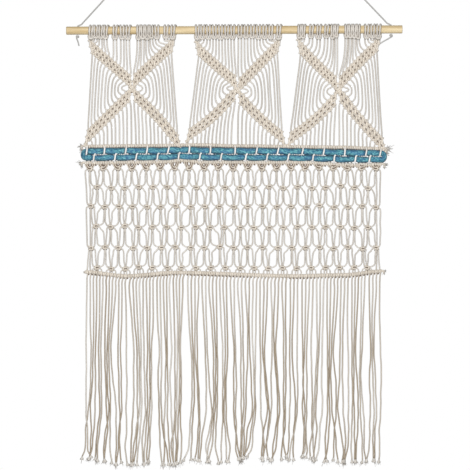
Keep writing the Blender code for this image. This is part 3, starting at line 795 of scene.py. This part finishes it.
def make_leg(threads, rows):
    """Three hitched rows side by side, each strand crossing the seam from one row to the next, and a dark
    tube along each seam as painted shadow.
    """
    for places in rows:
        carrier(threads, places, before=0.8, after=0.6, tone=0.1)
        hitch_row(threads, places, open_share=0.04)
    for above, below in zip(rows, rows[1:]):
        middles = (above + below) / 2
        for start, middle, end in zip(above, middles, below):
            threads.add([flat(start, 0.4), flat(middle, 0.1), flat(end, 0.4)], 2.2, sides=6)
        # Painted shadow along the seam
        threads.gap([flat(middle, -0.4) for middle in middles], 0.95)


def side_strand(start, leave, middle, meet, end):
    """A strand that bows out of an upper leg, hangs through its middle point and turns into a lower leg."""
    leave, meet = unit(leave), unit(meet)
    high, low = start + leave * 3.0, end - meet * 3.0
    pull = min(0.25 * (high[1] - low[1]), 5.5)
    hang = (high - low) * 0.36
    points = (high, high + leave * pull, middle + hang, middle, middle - hang, low - meet * pull, low)
    points = [flat(point) for point in points]
    upper, lower = bezier(*points[:4], 3.0), bezier(*points[3:], 3.0)
    return uneven(np.vstack([[flat(start)], upper[:-1], lower, [flat(end)]]), 0.2)


def foot_strand(start, part, bar_x):
    """A strand from a lower leg down to the upper bar."""
    high = start + part * 2.4
    bar_z = on_line(UPPER_BAR, bar_x)
    room = max(high[1] - bar_z - 1.0, 0.5)
    points = (high, high + part * min(room * 0.3, 4.0), (bar_x, bar_z + room * 0.75), (bar_x, bar_z))
    line = bezier(*[flat(point) for point in points], 3.0)
    return uneven(np.vstack([[flat(start)], line]), 0.2)


def top_strand(end, knot, back):
    """A strand from its lark's head down into the first row of an upper leg."""
    near = knot + back * 2.6
    fall = end[2] - near[1]
    drop = max(fall * 0.75, 2.0)
    pull = min(max(fall * 0.22, 1.8), 4.0)
    line = bezier(end, end + np.array((0.0, 0.3, -drop)), flat(near + back * pull), flat(near), 2.6)
    return np.vstack([line[1:], [flat(knot)]])


def cross_centre(threads, centre):
    """The small woven square where a panel's legs cross, with dark tubes behind it as painted shadow in its
    gaps.
    """
    for r in (-1, 0, 1):
        rise = r * 3.0
        over = -1.2 if r == 0 else 1.2
        for side in (-1, 1):
            high = ((-7.0, 0.9 * side, 6.0 + rise), (-3.0, side * over, 1.0 + rise))
            low = ((3.0, -side * over, -5.5 + rise), (7.0, 0.9 * side, -10.0 + rise))
            threads.curve(beside(centre, side, *high, *low), 1.8, 1.2, tone=0.0)
    # Painted shadow behind the square
    for rise in (3.0, -2.0, -7.0):
        threads.gap(beside(centre, 1, (-4.6, 0.6, rise), (4.6, 0.6, rise)), 1.3, -0.9)


def spread_heads(groups):
    """x and lean of each lark's head of a panel."""
    heads = []
    for count, first, last, lean in groups:
        heads += [(x, lean + RNG.normal(0, 0.5)) for x in np.linspace(first, last, count)]
    return heads


def half_panel(strands, knots, side, edge, foot, gap, centre, shifts):
    """One half of a panel below its heads. Returns where its strands enter the upper leg, from outside."""
    upper, lower = leg_rows(side, edge, foot, centre, shifts)
    make_leg(knots, upper)
    make_leg(knots, lower)
    last, next_first, next_last = upper[-1], lower[0], lower[-1]
    enter, leave, meet, part = (across_row(row) for row in (upper[0], last, next_first, next_last))
    outer_reach = abs((last[0][0] + next_first[0][0]) / 2 - centre[0]) + 0.5
    outer_x, inner_x = foot - side * FOOT_INSET, centre[0] + side * gap
    for k in range(ROW_HITCHES):
        size = CORD_RADIUS * RNG.uniform(0.93, 1.04, 2)
        inwards = (k / (ROW_HITCHES - 2)) ** 1.1
        reach = outer_reach + (INNER_REACH - outer_reach) * inwards + RNG.normal(0, 0.4)
        middle = (centre[0] + side * reach, (last[k][1] + next_first[k][1]) / 2)
        turn = min(1.0, (k + 0.5) / 4)
        down = np.array((0.0, turn - 1.0))
        if k < ROW_HITCHES - 1:
            way = side_strand(last[k], leave * turn + down, middle, meet * turn + down, next_first[k])
            strands.add(way, size[0])
        bar_x = outer_x + (inner_x - outer_x) * (k - 1) / (ROW_HITCHES - 2) + RNG.normal(0, 0.3)
        if k == 0:
            bar_x = next_last[0][0]
        strands.add(foot_strand(next_last[k], part, bar_x), size[1])
    beyond = [upper[row][0] + (side * 0.5, 0.0) for row in (2, 1)]
    return [(place_at, -enter) for place_at in (*beyond, *upper[0])]


def panel_heads(strands, heads, landings):
    """The lark's heads of a panel, their strands down to the upper legs, and a dark tube under each head as
    painted shadow under the dowel.
    """
    centres = [x for x, _ in heads]
    for h, (x, lean) in enumerate(heads):
        gap = min(abs(x - other) for other in centres[max(h - 1, 0) : h] + centres[h + 1 : h + 2])
        spread = min(2.5, gap * 0.27)
        loop = smooth_line(head_line(x, spread, gap / 2 - 0.5, lean, RNG.uniform(-2.0, 1.5)), 1.8)
        left = top_strand(loop[0], *landings[2 * h])
        right = top_strand(loop[-1], *landings[2 * h + 1])
        marks = (0, 5, len(loop) - 6, len(loop) - 1)
        wide = np.interp(np.arange(len(loop)), marks, (CORD_RADIUS, HEAD_RADIUS, HEAD_RADIUS, CORD_RADIUS))
        radius = np.pad(wide, (len(left), len(right)), constant_values=CORD_RADIUS)
        strands.add(np.vstack([left[::-1], loop, right]), radius, tone=RNG.uniform(0.5, 1.0))
        # Painted shadow under the dowel
        under = (x, dowel_z(x) - DOWEL_RADIUS - 1.4)
        strands.gap(beside(under, 1, (-spread - 1.6, -3.0, 0.0), (spread + 1.6, -3.0, 0.0)), 1.5)


def make_panel(panel, leg_shifts):
    """A crossed panel: its heads on the dowel, its four legs and the cords between and below them."""
    name, groups, centre_x, centre_z, left_foot, right_foot, left_gap, right_gap = panel
    centre = (centre_x, centre_z)
    heads = spread_heads(groups)
    left_edge, right_edge = heads[0][0] - HEAD_HALF, heads[-1][0] + HEAD_HALF
    strands, knots = Threads(), Threads()
    left = half_panel(strands, knots, -1, left_edge, left_foot, left_gap, centre, leg_shifts[0])
    right = half_panel(strands, knots, 1, right_edge, right_foot, right_gap, centre, leg_shifts[1])
    panel_heads(strands, heads, left + right[::-1])
    cross_centre(knots, centre)
    strands.build(name + "_strands", COTTON, [name], "cotton")
    knots.build(name + "_knots", KNOT_COTTON, [name], "cotton")


# ---- Hitched bars ----

# columns: outwards, behind and up from the bar's end
TAIL_TURN = ((0.0, 0.0, 0.0), (2.6, -0.8, 0.9), (4.6, 0.3, -0.4), (5.4, 1.4, -1.8), (3.8, 1.0, -2.4))


def fray(threads, root, direction, count, length, flare, thick):
    """Loose fibres at a cord's cut end."""
    direction = unit(direction)
    for _ in range(count):
        side = RNG.normal(0, 1, 3) * flare
        bend = RNG.normal(0, 1, 3) * flare * 0.7
        reach = length * RNG.uniform(0.6, 1.15)
        share = np.linspace(0, 1, 5)[:, None]
        line = root + reach * ((direction + side) * share + bend * share**2)
        threads.add(line, np.linspace(thick, thick * 0.4, 5), sides=3)


def make_bar(name, rows, replaced, reach, thick, tails):
    """A row of hitches over all the cords, and its carrier's cut ends. tails are the sizes of the two."""
    threads, tufts = Threads(), Threads()
    places = np.array([(column_x(i), on_line(rows, column_x(i))) for i in range(COLUMNS)])
    carrier(threads, places, before=5.0 * tails[0], after=5.0 * tails[1])
    hitch_row(threads, places, reach, thick)
    # Dark tubes under the bar between the hitches: painted shadow
    low = places - (0.0, reach + thick + 0.1)
    for start, end in zip(low, low[1:]):
        threads.gap([flat(start + (end - start) * share, 1.2) for share in (0.3, 0.75)], 1.7)
    for (x, z), side, size in ((places[0], -1, tails[0]), (places[-1], 1, tails[1])):
        start = flat((x + side * 2.5, z))
        curl = smooth_line(start + size * np.array(TAIL_TURN) * (side, 1, 1), 1.2)
        threads.add(curl, 1.9, tone=0.1)
        fray(tufts, start + (side * 4.0 * size, 0.0, 0.2), (side, 0.1, -0.1), 45, 3.6 * size, 0.36, 0.8)
        fray(tufts, curl[-1], (side * 0.6, -0.2, -1.0), 24, 3.0 * size, 0.36, 0.8)
    threads.build(name, KNOT_COTTON, [replaced], "cotton")
    tufts.build(name + "_tufts", FRAY_COTTON, [replaced], "cotton")


# ---- Woven yarn ----

YARN_LEFT, YARN_RIGHT = -266.0, 264.5
YARN_SPACING = 1.2
YARN_SIDES = 32
# How far in front of the yarn's middle the ties pass, and about how far behind it the other cords pass
YARN_DEPTH = 6.5
# The angles of the yarn's points where it turns back on the right, from the upper row to the lower one
TURN_ANGLES = (70, 45, 20, -5, -30, -60)
# columns: left z, right z, radius
UPPER_ROW = (-300.6, -303.4, 6.2)
LOWER_ROW = (-312.2, -314.9, 5.7)
# The columns whose cords tie the yarn down
UPPER_TIES = (0, 5, 11, 17, 23, 29, 35, 42, 48, 54, 61, 67, 73, 79, 83)
LOWER_TIES = (2, 8, 14, 20, 26, 32, 38, 45, 51, 57, 64, 70, 76, 80)
TIE_SLANT = 1.6


def yarn_z(row, x):
    """z of a row of the yarn at x, bending less than the bars above and below it."""
    share = (x - YARN_LEFT) / (YARN_RIGHT - YARN_LEFT)
    straight, upper, lower = (left + (right - left) * share for left, right, _ in (row, UPPER_ROW, LOWER_ROW))
    middle = (on_line(UPPER_BAR, x) + on_line(LOWER_BAR, x)) / 2
    return straight + (middle - (upper + lower) / 2) * 0.8


def yarn_run(row, ties, way):
    """One run of the yarn, as columns of x, y, z, radius and tone. The ties pinch it, and its tone is low
    next to them for painted shade there.
    """
    x = np.arange(YARN_LEFT, YARN_RIGHT, YARN_SPACING)[::way]
    near = np.abs(x[:, None] - [column_x(i) for i in ties]).min(axis=1)
    pinch = np.exp(-((near / 4.0) ** 2))
    z = np.array([yarn_z(row, value) for value in x]) + 0.5 * np.sin(x * 0.16 + way)
    radius = row[2] * (1.0 - 0.24 * pinch) * (1.0 + 0.03 * np.sin(x * 0.21))
    tone = 1.0 - 0.75 * np.exp(-((near / 2.6) ** 2))
    return np.column_stack([x, -0.9 * pinch, z, radius, tone])


def make_yarn():
    """The yarn, out along the upper row and back along the lower one."""
    threads = Threads()
    angle = np.radians(TURN_ANGLES)
    top, low = yarn_z(UPPER_ROW, YARN_RIGHT), yarn_z(LOWER_ROW, YARN_RIGHT)
    turn_x = YARN_RIGHT + 3.6 * np.cos(angle)
    turn_z = (top + low) / 2 + (top - low) / 2 * np.sin(angle)
    # A tone below one paints a little shade on the turn
    radius, tone = np.full_like(angle, 5.0), np.full_like(angle, 0.8)
    right_turn = np.column_stack([turn_x, np.zeros_like(angle), turn_z, radius, tone])
    yarn = np.vstack([yarn_run(UPPER_ROW, UPPER_TIES, 1), right_turn, yarn_run(LOWER_ROW, LOWER_TIES, -1)])
    line, radius, tone = yarn[:, :3], yarn[:, 3], yarn[:, 4]
    along = np.concatenate([[0.0], np.cumsum(np.linalg.norm(np.diff(line, axis=0), axis=1))])[:, None]
    turn = np.arange(YARN_SIDES) / YARN_SIDES
    lobes = 1.0 - 0.10 * (1 - np.abs(np.cos(math.pi * (3 * turn - along / YARN_LAY))) ** 0.8)
    lobes += 0.012 * np.cos(math.tau * (11 * turn - along / 9.0))
    threads.add(line, radius, sides=YARN_SIDES, profile=lobes, tone=tone)
    low, high = yarn_z(LOWER_ROW, YARN_LEFT), yarn_z(UPPER_ROW, YARN_LEFT)
    left_turn = beside((YARN_LEFT, low), 1, (3.0, 0.4, 0.0), (-2.2, 0.4, 1.2))
    left_turn += beside((YARN_LEFT, (low + high) / 2), 1, (-3.6, 0.4, 0.0))
    left_turn += beside((YARN_LEFT, high), 1, (-1.8, 0.4, -1.2), (3.0, 0.4, 0.0))
    # A tone below one paints a little shade on this turn too
    threads.curve(left_turn, 1.5, 4.9, sides=20, tone=0.65)
    threads.build("teal_yarn", YARN, ["woven_yarn"], "yarn")


def seam_run(threads, i, z):
    """A tie's way along the seam to the next upper tie, in and out of the yarn."""
    after = [j for j in UPPER_TIES if j > i]
    if after:
        xs = np.arange(column_x(i) + 3.4, column_x(after[0]) - 1.5, 0.8)
        dip = np.cos((xs - xs[0]) * math.tau / 4.2)
        drop = np.linspace(0.0, -1.0, len(xs))
        threads.add(np.stack([xs, -1.4 - 2.6 * dip, z + drop], 1), 0.9, sides=6)


def make_ties():
    """The cords between the two upper bars: some tie the yarn down in front, the rest run behind it."""
    threads, behind = Threads(), Threads()
    for i in range(COLUMNS):
        x = column_x(i)
        top, foot = on_line(UPPER_BAR, x), on_line(LOWER_BAR, x)
        upper, lower = yarn_z(UPPER_ROW, x), yarn_z(LOWER_ROW, x)
        seam = (upper + lower) / 2
        slant = TIE_SLANT * RNG.uniform(0.2, 1.3)
        if i in UPPER_TIES:
            line = beside((x, top), 1, (slant, -1.0, 0.0), (slant, -4.9, -3.6))
            line += beside((x, upper), 1, (slant * 0.6, -YARN_DEPTH, 1.2), (0.0, -YARN_DEPTH, -2.6))
            line += beside((x, seam), 1, (-0.4, -5.2, 0.6), (-1.6, -2.6, -0.4))
            threads.curve(line, 1.2, 1.5)
        elif i in LOWER_TIES:
            line = beside((x, seam), 1, (3.4, -3.8, 0.9), (1.9, -5.2, 0.6), (0.8, 0.7 - YARN_DEPTH, -1.8))
            line += beside((x, lower), 1, (0.3, 0.4 - YARN_DEPTH, 0.0))
            line += beside((x, foot), 1, (-slant * 0.5, -4.8, 3.4), (-slant * 0.6, -1.0, 0.0))
            threads.curve(line, 1.2, 1.5)
            seam_run(threads, i, seam + 0.6)
        sway = RNG.normal(0, 0.4, 2)
        line = beside((x, top), 1, (0.0, 2.0, 0.0), (0.0, 5.8, -2.6))
        line += [(x + sway[0], YARN_DEPTH + 0.6, upper), (x + sway[1], YARN_DEPTH, lower)]
        line += beside((x, foot), 1, (0.0, 4.8, 3.2), (0.0, 1.0, 0.0))
        behind.curve(line, 2.4, CORD_RADIUS)
    threads.build("yarn_ties", TIE_COTTON, ["upper_bar"], "cotton")
    behind.build("cords_behind", COTTON, ["upper_bar"], "cotton")


# ---- Net ----

NET_RADIUS = 1.3
# columns: z, knots, first and last x
NET_ROWS = (
    (-331.6, 21, -258, 252),
    (-365.2, 20, -246, 239),
    (-399.2, 21, -256, 253),
    (-435.8, 20, -246, 239),
    (-472.4, 21, -256, 253),
    (-508.5, 20, -245, 238),
)
# How far outwards the knots at a quarter and at three quarters of a row lie from an even spacing
NET_DRIFT = 1.8
KNOT_HALF_WIDTH = 4.2
KNOT_HALF_DEPTH = 2.3
KNOT_EDGE = KNOT_HALF_WIDTH + 0.9
# How far from a knot's middle its two straight cords lie
CORE_OUT = 0.9
# How far out from a knot of the last row its four cords leave, and from an edge knot of the row above its two
FOOT_LEADS = (-4.3, -1.1, 1.1, 4.3)
EDGE_LEADS = (1.0, 3.9)


def square_knot(threads, place_at, way):
    """A square knot: two half knots round two straight cords, with a loop at one side and dark tubes as
    painted shadow in its gaps.
    """
    x, z = place_at
    cos, sin = circle(KNOT_POINTS)
    tone = RNG.uniform(0.0, 0.6)
    for level in (2.2, -2.2):
        turn = np.stack([x + cos * KNOT_HALF_WIDTH, sin * KNOT_HALF_DEPTH, z + level + cos * 0.7 * way], 1)
        threads.add(turn, 1.5, sides=7, closed=True, tone=tone)
    # Dark tubes: painted shadow beside the loop and under the knot
    threads.gap(beside(place_at, way, (-1.6, -2.7, 0.4), (3.4, -2.3, -0.3)), 1.0, -0.9)
    loop = beside(place_at, way, (-0.8, -2.6, 3.4), (-3.7, -3.5, 0.0), (-0.8, -2.6, -3.4))
    threads.curve(loop, 1.0, 1.5, sides=7, tone=tone)
    threads.gap(beside(place_at, 1, (-3.4, 0.6, -4.6), (3.4, 0.6, -4.6)), 1.1, -0.9)


def net_link(cords, upper, lower):
    """The two cords from one knot to the next one down: an oval with upright sides."""
    (x, z), (x2, z2) = upper, lower
    side = 1 if x2 > x else -1
    wide = abs(x2 - x)
    sway = RNG.normal(0, 0.35, 4)
    inner = beside(upper, side, (CORE_OUT, 0, -3.4), (1.0, 0.3, -7.5), (1.4 + sway[0], 0.3, -15.0))
    shoulder = 1.5 + 0.42 * (wide - KNOT_EDGE + 1.2)
    inner += beside((x, z2), side, (1.7 + sway[1], 0.2, 10.0), (2.6, 0, 5.8), (shoulder, 0, 2.3))
    inner += beside(lower, -side, (KNOT_EDGE - 1.2, 0, 0.8))
    shoulder = min(KNOT_EDGE + 3.6, wide - 3.0)
    outer = beside(upper, side, (KNOT_EDGE - 1.2, 0, -0.8), (KNOT_EDGE + 1.4, 0, -1.9))
    outer += beside(upper, side, (shoulder, -0.1, -5.4))
    outer += beside((x2, z), -side, (2.9 + sway[2], -0.2, -11.0))
    outer += beside(lower, -side, (2.1 + sway[3], -0.3, 15.0), (1.3, -0.3, 7.5), (CORE_OUT, 0, 3.4))
    for line in (inner, outer):
        cords.curve(line, 2.0, NET_RADIUS * RNG.uniform(0.94, 1.04))


def net_edge(cords, upper, lower, side):
    """The two cords that run down the net's edge from one knot to the knot two rows down."""
    middle = np.add(upper, lower) / 2
    inner = beside(upper, side, (CORE_OUT, 0, -3.4), (1.0, 0, -10.0)) + beside(middle, side, (1.3, 0, 0))
    inner += beside(lower, side, (1.2, 0, 9.0), (CORE_OUT, 0, 3.4))
    edge = KNOT_EDGE
    outer = beside(upper, side, (edge - 1.2, 0, -0.8), (edge + 1.6, 0, -2.4), (edge + 3.2, 0, -7.5))
    outer += beside(middle, side, (edge + 2.2, 0, 0))
    outer += beside(lower, side, (edge + 2.0, 0, 9.0), (edge + 0.6, 0, 2.6), (edge - 1.2, 0, 0.8))
    cords.add(uneven(smooth_line(inner, 2.4), 0.5), NET_RADIUS)
    cords.add(uneven(smooth_line(outer, 2.4), 0.3), NET_RADIUS)


# columns: half width, how far its bottom lies above the knot, radius, tone. The dark ones are painted shadow
# in the gaps between
NET_CUPS = (
    (8.6, -2.0, 1.0, 0.2),
    (6.8, -0.1, 0.9, -1.0),
    (5.2, 1.8, 1.0, 0.4),
    (3.6, 3.9, 1.0, -1.0),
)


def net_cup(threads, x, z):
    """The cords from the lower bar down to a first-row knot, as nested cups in front of it, with painted
    shadow between the cups.
    """
    top = on_line(LOWER_BAR, x)
    for half, low, radius, tone in NET_CUPS:
        rim = ((half, -0.4, top - 1.5), (half * 0.9, -2.0, top - 4.6), (half * 0.45, -3.0, z + low + 1.2))
        cup = beside((x, 0), -1, *rim) + [(x, -3.4, z + low)] + beside((x, 0), 1, *rim[::-1])
        threads.curve(cup, 1.4, radius, sides=7, tone=tone)
    for side in (-1, 1):
        threads.add(beside((x, 0), side, (2.6, 0.6, top), (1.4, 0.4, z + 1.0)), 1.1, sides=6, tone=0.3)


def net_rows():
    """x and z of the net's knots, row by row from the top."""
    rows = []
    for z, count, first, last in NET_ROWS:
        spread = 1.0 if rows else 0.5
        share = np.linspace(0, 1, count)
        xs = first + (last - first) * share - NET_DRIFT * np.sin(math.tau * share)
        rows.append([(x + RNG.normal(0, 0.7), z + RNG.normal(0, spread)) for x in xs])
    return rows


def net_foot(cords, last_row, edge_row):
    """The cords to the fringe's bar, from the net's lowest knots and from the edges of the row above."""
    for x, z in last_row:
        for lead in FOOT_LEADS:
            foot_x = x + 1.9 * lead
            foot = on_line(FRINGE_BAR, foot_x)
            middle = (foot_x, -0.3, (z + foot) / 2 + 0.6)
            line = [(x + lead, -0.2, z - 1.0), middle, (foot_x * 0.9 + x * 0.1, 0, foot)]
            cords.curve(line, 1.6, NET_RADIUS * 0.92)
    for knot, side, columns in ((edge_row[0], -1, (1, 0)), (edge_row[-1], 1, (COLUMNS - 2, COLUMNS - 1))):
        for column, lead in zip(columns, EDGE_LEADS):
            foot_x = column_x(column)
            line = beside(knot, side, (lead, 0, -2.0), (lead + 0.4, 0, -12.0))
            line.append((foot_x, 0, on_line(FRINGE_BAR, foot_x)))
            cords.add(uneven(smooth_line(line, 3.0), 0.4), NET_RADIUS)


def make_net():
    """The net: rows of square knots, each tied from cords of two knots of the row above."""
    knots, cords = Threads(), Threads()
    rows = net_rows()
    for r, row in enumerate(rows):
        for i, place_at in enumerate(row):
            square_knot(knots, place_at, 1 if (i + r) % 2 else -1)
            for out in (-CORE_OUT, CORE_OUT):
                cords.add(beside(place_at, 1, (out, 0, 4.4), (out, 0, 0), (out, 0, -4.4)), NET_RADIUS * 0.95)
    for r, (row, below) in enumerate(zip(rows, rows[1:])):
        shift = -1 if len(row) > len(below) else 1
        for i, place_at in enumerate(row):
            for side in (-1, 1):
                j = i + (side + shift) // 2
                if 0 <= j < len(below):
                    net_link(cords, place_at, below[j])
                elif r + 2 < len(rows):
                    net_edge(cords, place_at, rows[r + 2][i], side)
    for x, z in rows[0]:
        net_cup(knots, x, z)
    net_foot(cords, rows[-1], rows[-2])
    knots.build("net_knots", KNOT_COTTON, ["net"], "cotton")
    cords.build("net_cords", COTTON, ["net"], "cotton")


# ---- Fringe ----

FRINGE_RADIUS = 1.32
LOWEST_Z = -860.0
# Strands that end far to one side
SPLAYED = {0: 5.0, 1: -5.0, 26: 6.0, 61: -5.0}
# The bunches from the left, as in the solids. columns: strands, then left and right x under the bar, in the
# middle and at the hem, and the hem's z at the left and at the right
BUNCHES = (
    (13, -263, -195, -265, -193, -266, -194, -846, -861),
    (8, -187, -145, -180, -148, -184, -152, -862, -857),
    (5, -138, -115, -134, -112, -132, -112, -862, -864),
    (4, -109, -92, -106, -96, -109, -94, -862, -856),
    (9, -83, -32, -77, -31, -82, -34, -851, -858),
    (3, -26, -14, -21, -12, -23, -9, -855, -855),
    (8, -7, 40, -1, 38, 3, 31, -856, -845),
    (8, 46, 92, 47, 92, 49, 89, -849, -851),
    (3, 100, 113, 99, 113, 97, 108, -849, -850),
    (7, 121, 160, 122, 157, 123, 151, -845, -850),
    (7, 166, 203, 167, 203, 163, 202, -854, -856),
    (5, 210, 233, 210, 231, 209, 232, -855, -855),
    (4, 241, 260, 243, 261, 240, 259, -852, -853),
)
# z under the bar, twice in the middle and at the hem
LEVEL_Z = (-548.0, -655.5, -762.6, -830.5)
# Lower down the strands hang in small groups of these sizes, a little apart in each group
GROUP_SIZES = (1, 1, 1, 1, 2, 2, 2, 3, 3, 4)
GROUP_PITCH = (2.9, 3.9)
# How far behind the bar's line the strands hang, by turns
LAYERS = (-2.6, 0.2, 2.8, -1.2, 1.6)
# columns: share of a cut end's length, radius
BRUSH = ((0.0, 1.3), (0.3, 1.8), (0.65, 2.7), (1.0, 3.1))
BRUSH_SIDES = 11
BRUSH_LENGTH = 6.4


def grouped(count, left, right):
    """x of a bunch's strands, gathered in small groups, and how crowded each strand's group is."""
    sizes = []
    while sum(sizes) < count:
        sizes.append(min(int(RNG.choice(GROUP_SIZES)), count - sum(sizes)))
    pitch = RNG.uniform(*GROUP_PITCH, len(sizes))
    widths = (np.array(sizes) - 1) * pitch
    spare = max(right - left - widths.sum(), 0.0)
    gaps = RNG.uniform(0.6, 1.4, len(sizes))
    gaps[0] = 0.0
    starts = left + np.cumsum(gaps) * spare / max(gaps.sum(), 1.0) + np.cumsum(widths) - widths
    xs, crowds = [], []
    for start, step, size in zip(starts, pitch, sizes):
        xs.extend(start + step * np.arange(size))
        crowds.extend([2 * FRINGE_RADIUS / step if size > 1 else 0.0] * size)
    return xs, crowds


def strand_levels():
    """For each level and strand its x and how crowded it is, and the z at which each strand ends."""
    bunches, ends = [], []
    for count, left, right, left_middle, right_middle, left_hem, right_hem, left_z, right_z in BUNCHES:
        crowd = (count - 1) * 2 * FRINGE_RADIUS / (right - left)
        found = [(np.linspace(left, right, count), np.full(count, crowd))]
        for span in ((left_middle, right_middle), (left_middle, right_middle), (left_hem, right_hem)):
            found.append(grouped(count, *span))
        bunches.append(np.array(found))
        ends.extend(np.linspace(left_z, right_z, count))
    levels = np.concatenate(bunches, axis=2)
    return levels[:, 0], levels[:, 1], ends


def swapped(xs):
    """The same places with some neighbours changed over, so that their strands cross."""
    xs = xs.copy()
    for i in range(len(xs) - 1):
        if xs[i + 1] - xs[i] < 7.0 and RNG.uniform() < 0.3:
            xs[[i, i + 1]] = xs[[i + 1, i]]
    return xs


def brush(tips, root, direction):
    """A strand's cut end: a flared brush of loose fibres."""
    direction = unit(direction)
    share, radius = np.array(BRUSH).T
    ragged = 1.0 + RNG.normal(0, 1, (len(BRUSH), BRUSH_SIDES)) * share[:, None] * 0.2
    tips.add(root + direction * share[:, None] * BRUSH_LENGTH, radius, sides=BRUSH_SIDES, profile=ragged)
    fray(tips, root + direction * 1.5, direction, 14, 6.6, 0.3, 0.55)


def make_fringe():
    """The loose ends: each strand falls through its x at every level, over or under its neighbours."""
    strands, tips = Threads(), Threads()
    levels, crowds, ends = strand_levels()
    levels[3] = swapped(levels[3])
    for i in range(COLUMNS):
        x1, x2, x3, x4 = levels[:, i]
        own = RNG.normal(0, 1, 8)
        depth = LAYERS[i % len(LAYERS)] + RNG.normal(0, 0.5, 5)
        end_x = x4 + 0.2 * (x4 - x3) + 2.6 * own[0] + SPLAYED.get(i, 0.0)
        end_z = max(ends[i] + RNG.normal(0, 1.5), LOWEST_Z)
        top_x = 0.1 * column_x(i) + 0.9 * x1
        top_z = on_line(FRINGE_BAR, top_x)
        line = (
            (top_x + 1.6, 0.0, top_z),
            (top_x + 1.1, 0.1 * depth[0], top_z - 4.6),
            (x1, 0.2 * depth[0], top_z - 12.0),
            (x1 + 0.3 * own[1], 0.5 * depth[0], -552.0),
            (0.5 * (x1 + x2) + 0.7 * own[2], depth[0], -602.0),
            (x2 + 0.3 * own[3], depth[1], LEVEL_Z[1]),
            (0.5 * (x2 + x3) + 1.0 * own[4], depth[2], -709.0),
            (x3 + 0.3 * own[5], depth[3], LEVEL_Z[2]),
            (0.5 * (x3 + x4) + 1.0 * own[6], depth[4], -797.0),
            (x4 + 0.3 * own[7], depth[4] * 0.8, LEVEL_Z[3]),
            (end_x, depth[4] * 0.6, end_z + 4.0),
        )
        path = smooth_line(line, 4.5)
        z = path[:, 2].copy()
        fall = np.clip((-550.0 - z) / 250.0, 0, 1)
        phase = RNG.uniform(0, math.tau, 3)
        path[:, 0] += (0.55 * np.sin(z * 0.085 + phase[0]) + 0.3 * np.sin(z * 0.19 + phase[2])) * fall
        path[:, 1] += np.sin(z * 0.075 + phase[1]) * 0.8 * fall
        radius = FRINGE_RADIUS * RNG.uniform(0.94, 1.05)
        # Tone varies at random, and is lower as painted shade where the strands crowd together and towards
        # the hem
        crowded = np.interp(z, LEVEL_Z[::-1], crowds[::-1, i])
        tone = np.clip(1.0 + RNG.normal(0, 0.2) - 0.9 * crowded - 0.35 * fall, 0.0, 1.0)
        strands.add(path, radius, tone=tone)
        brush(tips, path[-1], unit(path[-1] - path[-3]) + (RNG.normal(0, 0.15), 0.0, -0.3))
    strands.build("fringe_strands", FRINGE_COTTON, ["fringe"], "cotton")
    tips.build("fringe_tips", FRAY_COTTON, ["fringe"], "cotton")


# ---- The whole hanging ----

set_stage()
for hanging_leg in HANGING_LEGS:
    hang_cord(*hanging_leg)
make_dowel()
for panel, leg_shifts in zip(PANELS, LEG_SHIFTS):
    make_panel(panel, leg_shifts)
make_bar("upper_bar_hitches", UPPER_BAR, "upper_bar", 1.9, 1.6, (1.4, 2.0))
make_yarn()
make_ties()
make_bar("lower_bar_hitches", LOWER_BAR, "net", 2.0, 1.6, (1.4, 1.2))
make_net()
make_bar("fringe_bar_hitches", FRINGE_BAR, "fringe", 2.2, 1.65, (0.35, 1.0))
make_fringe()
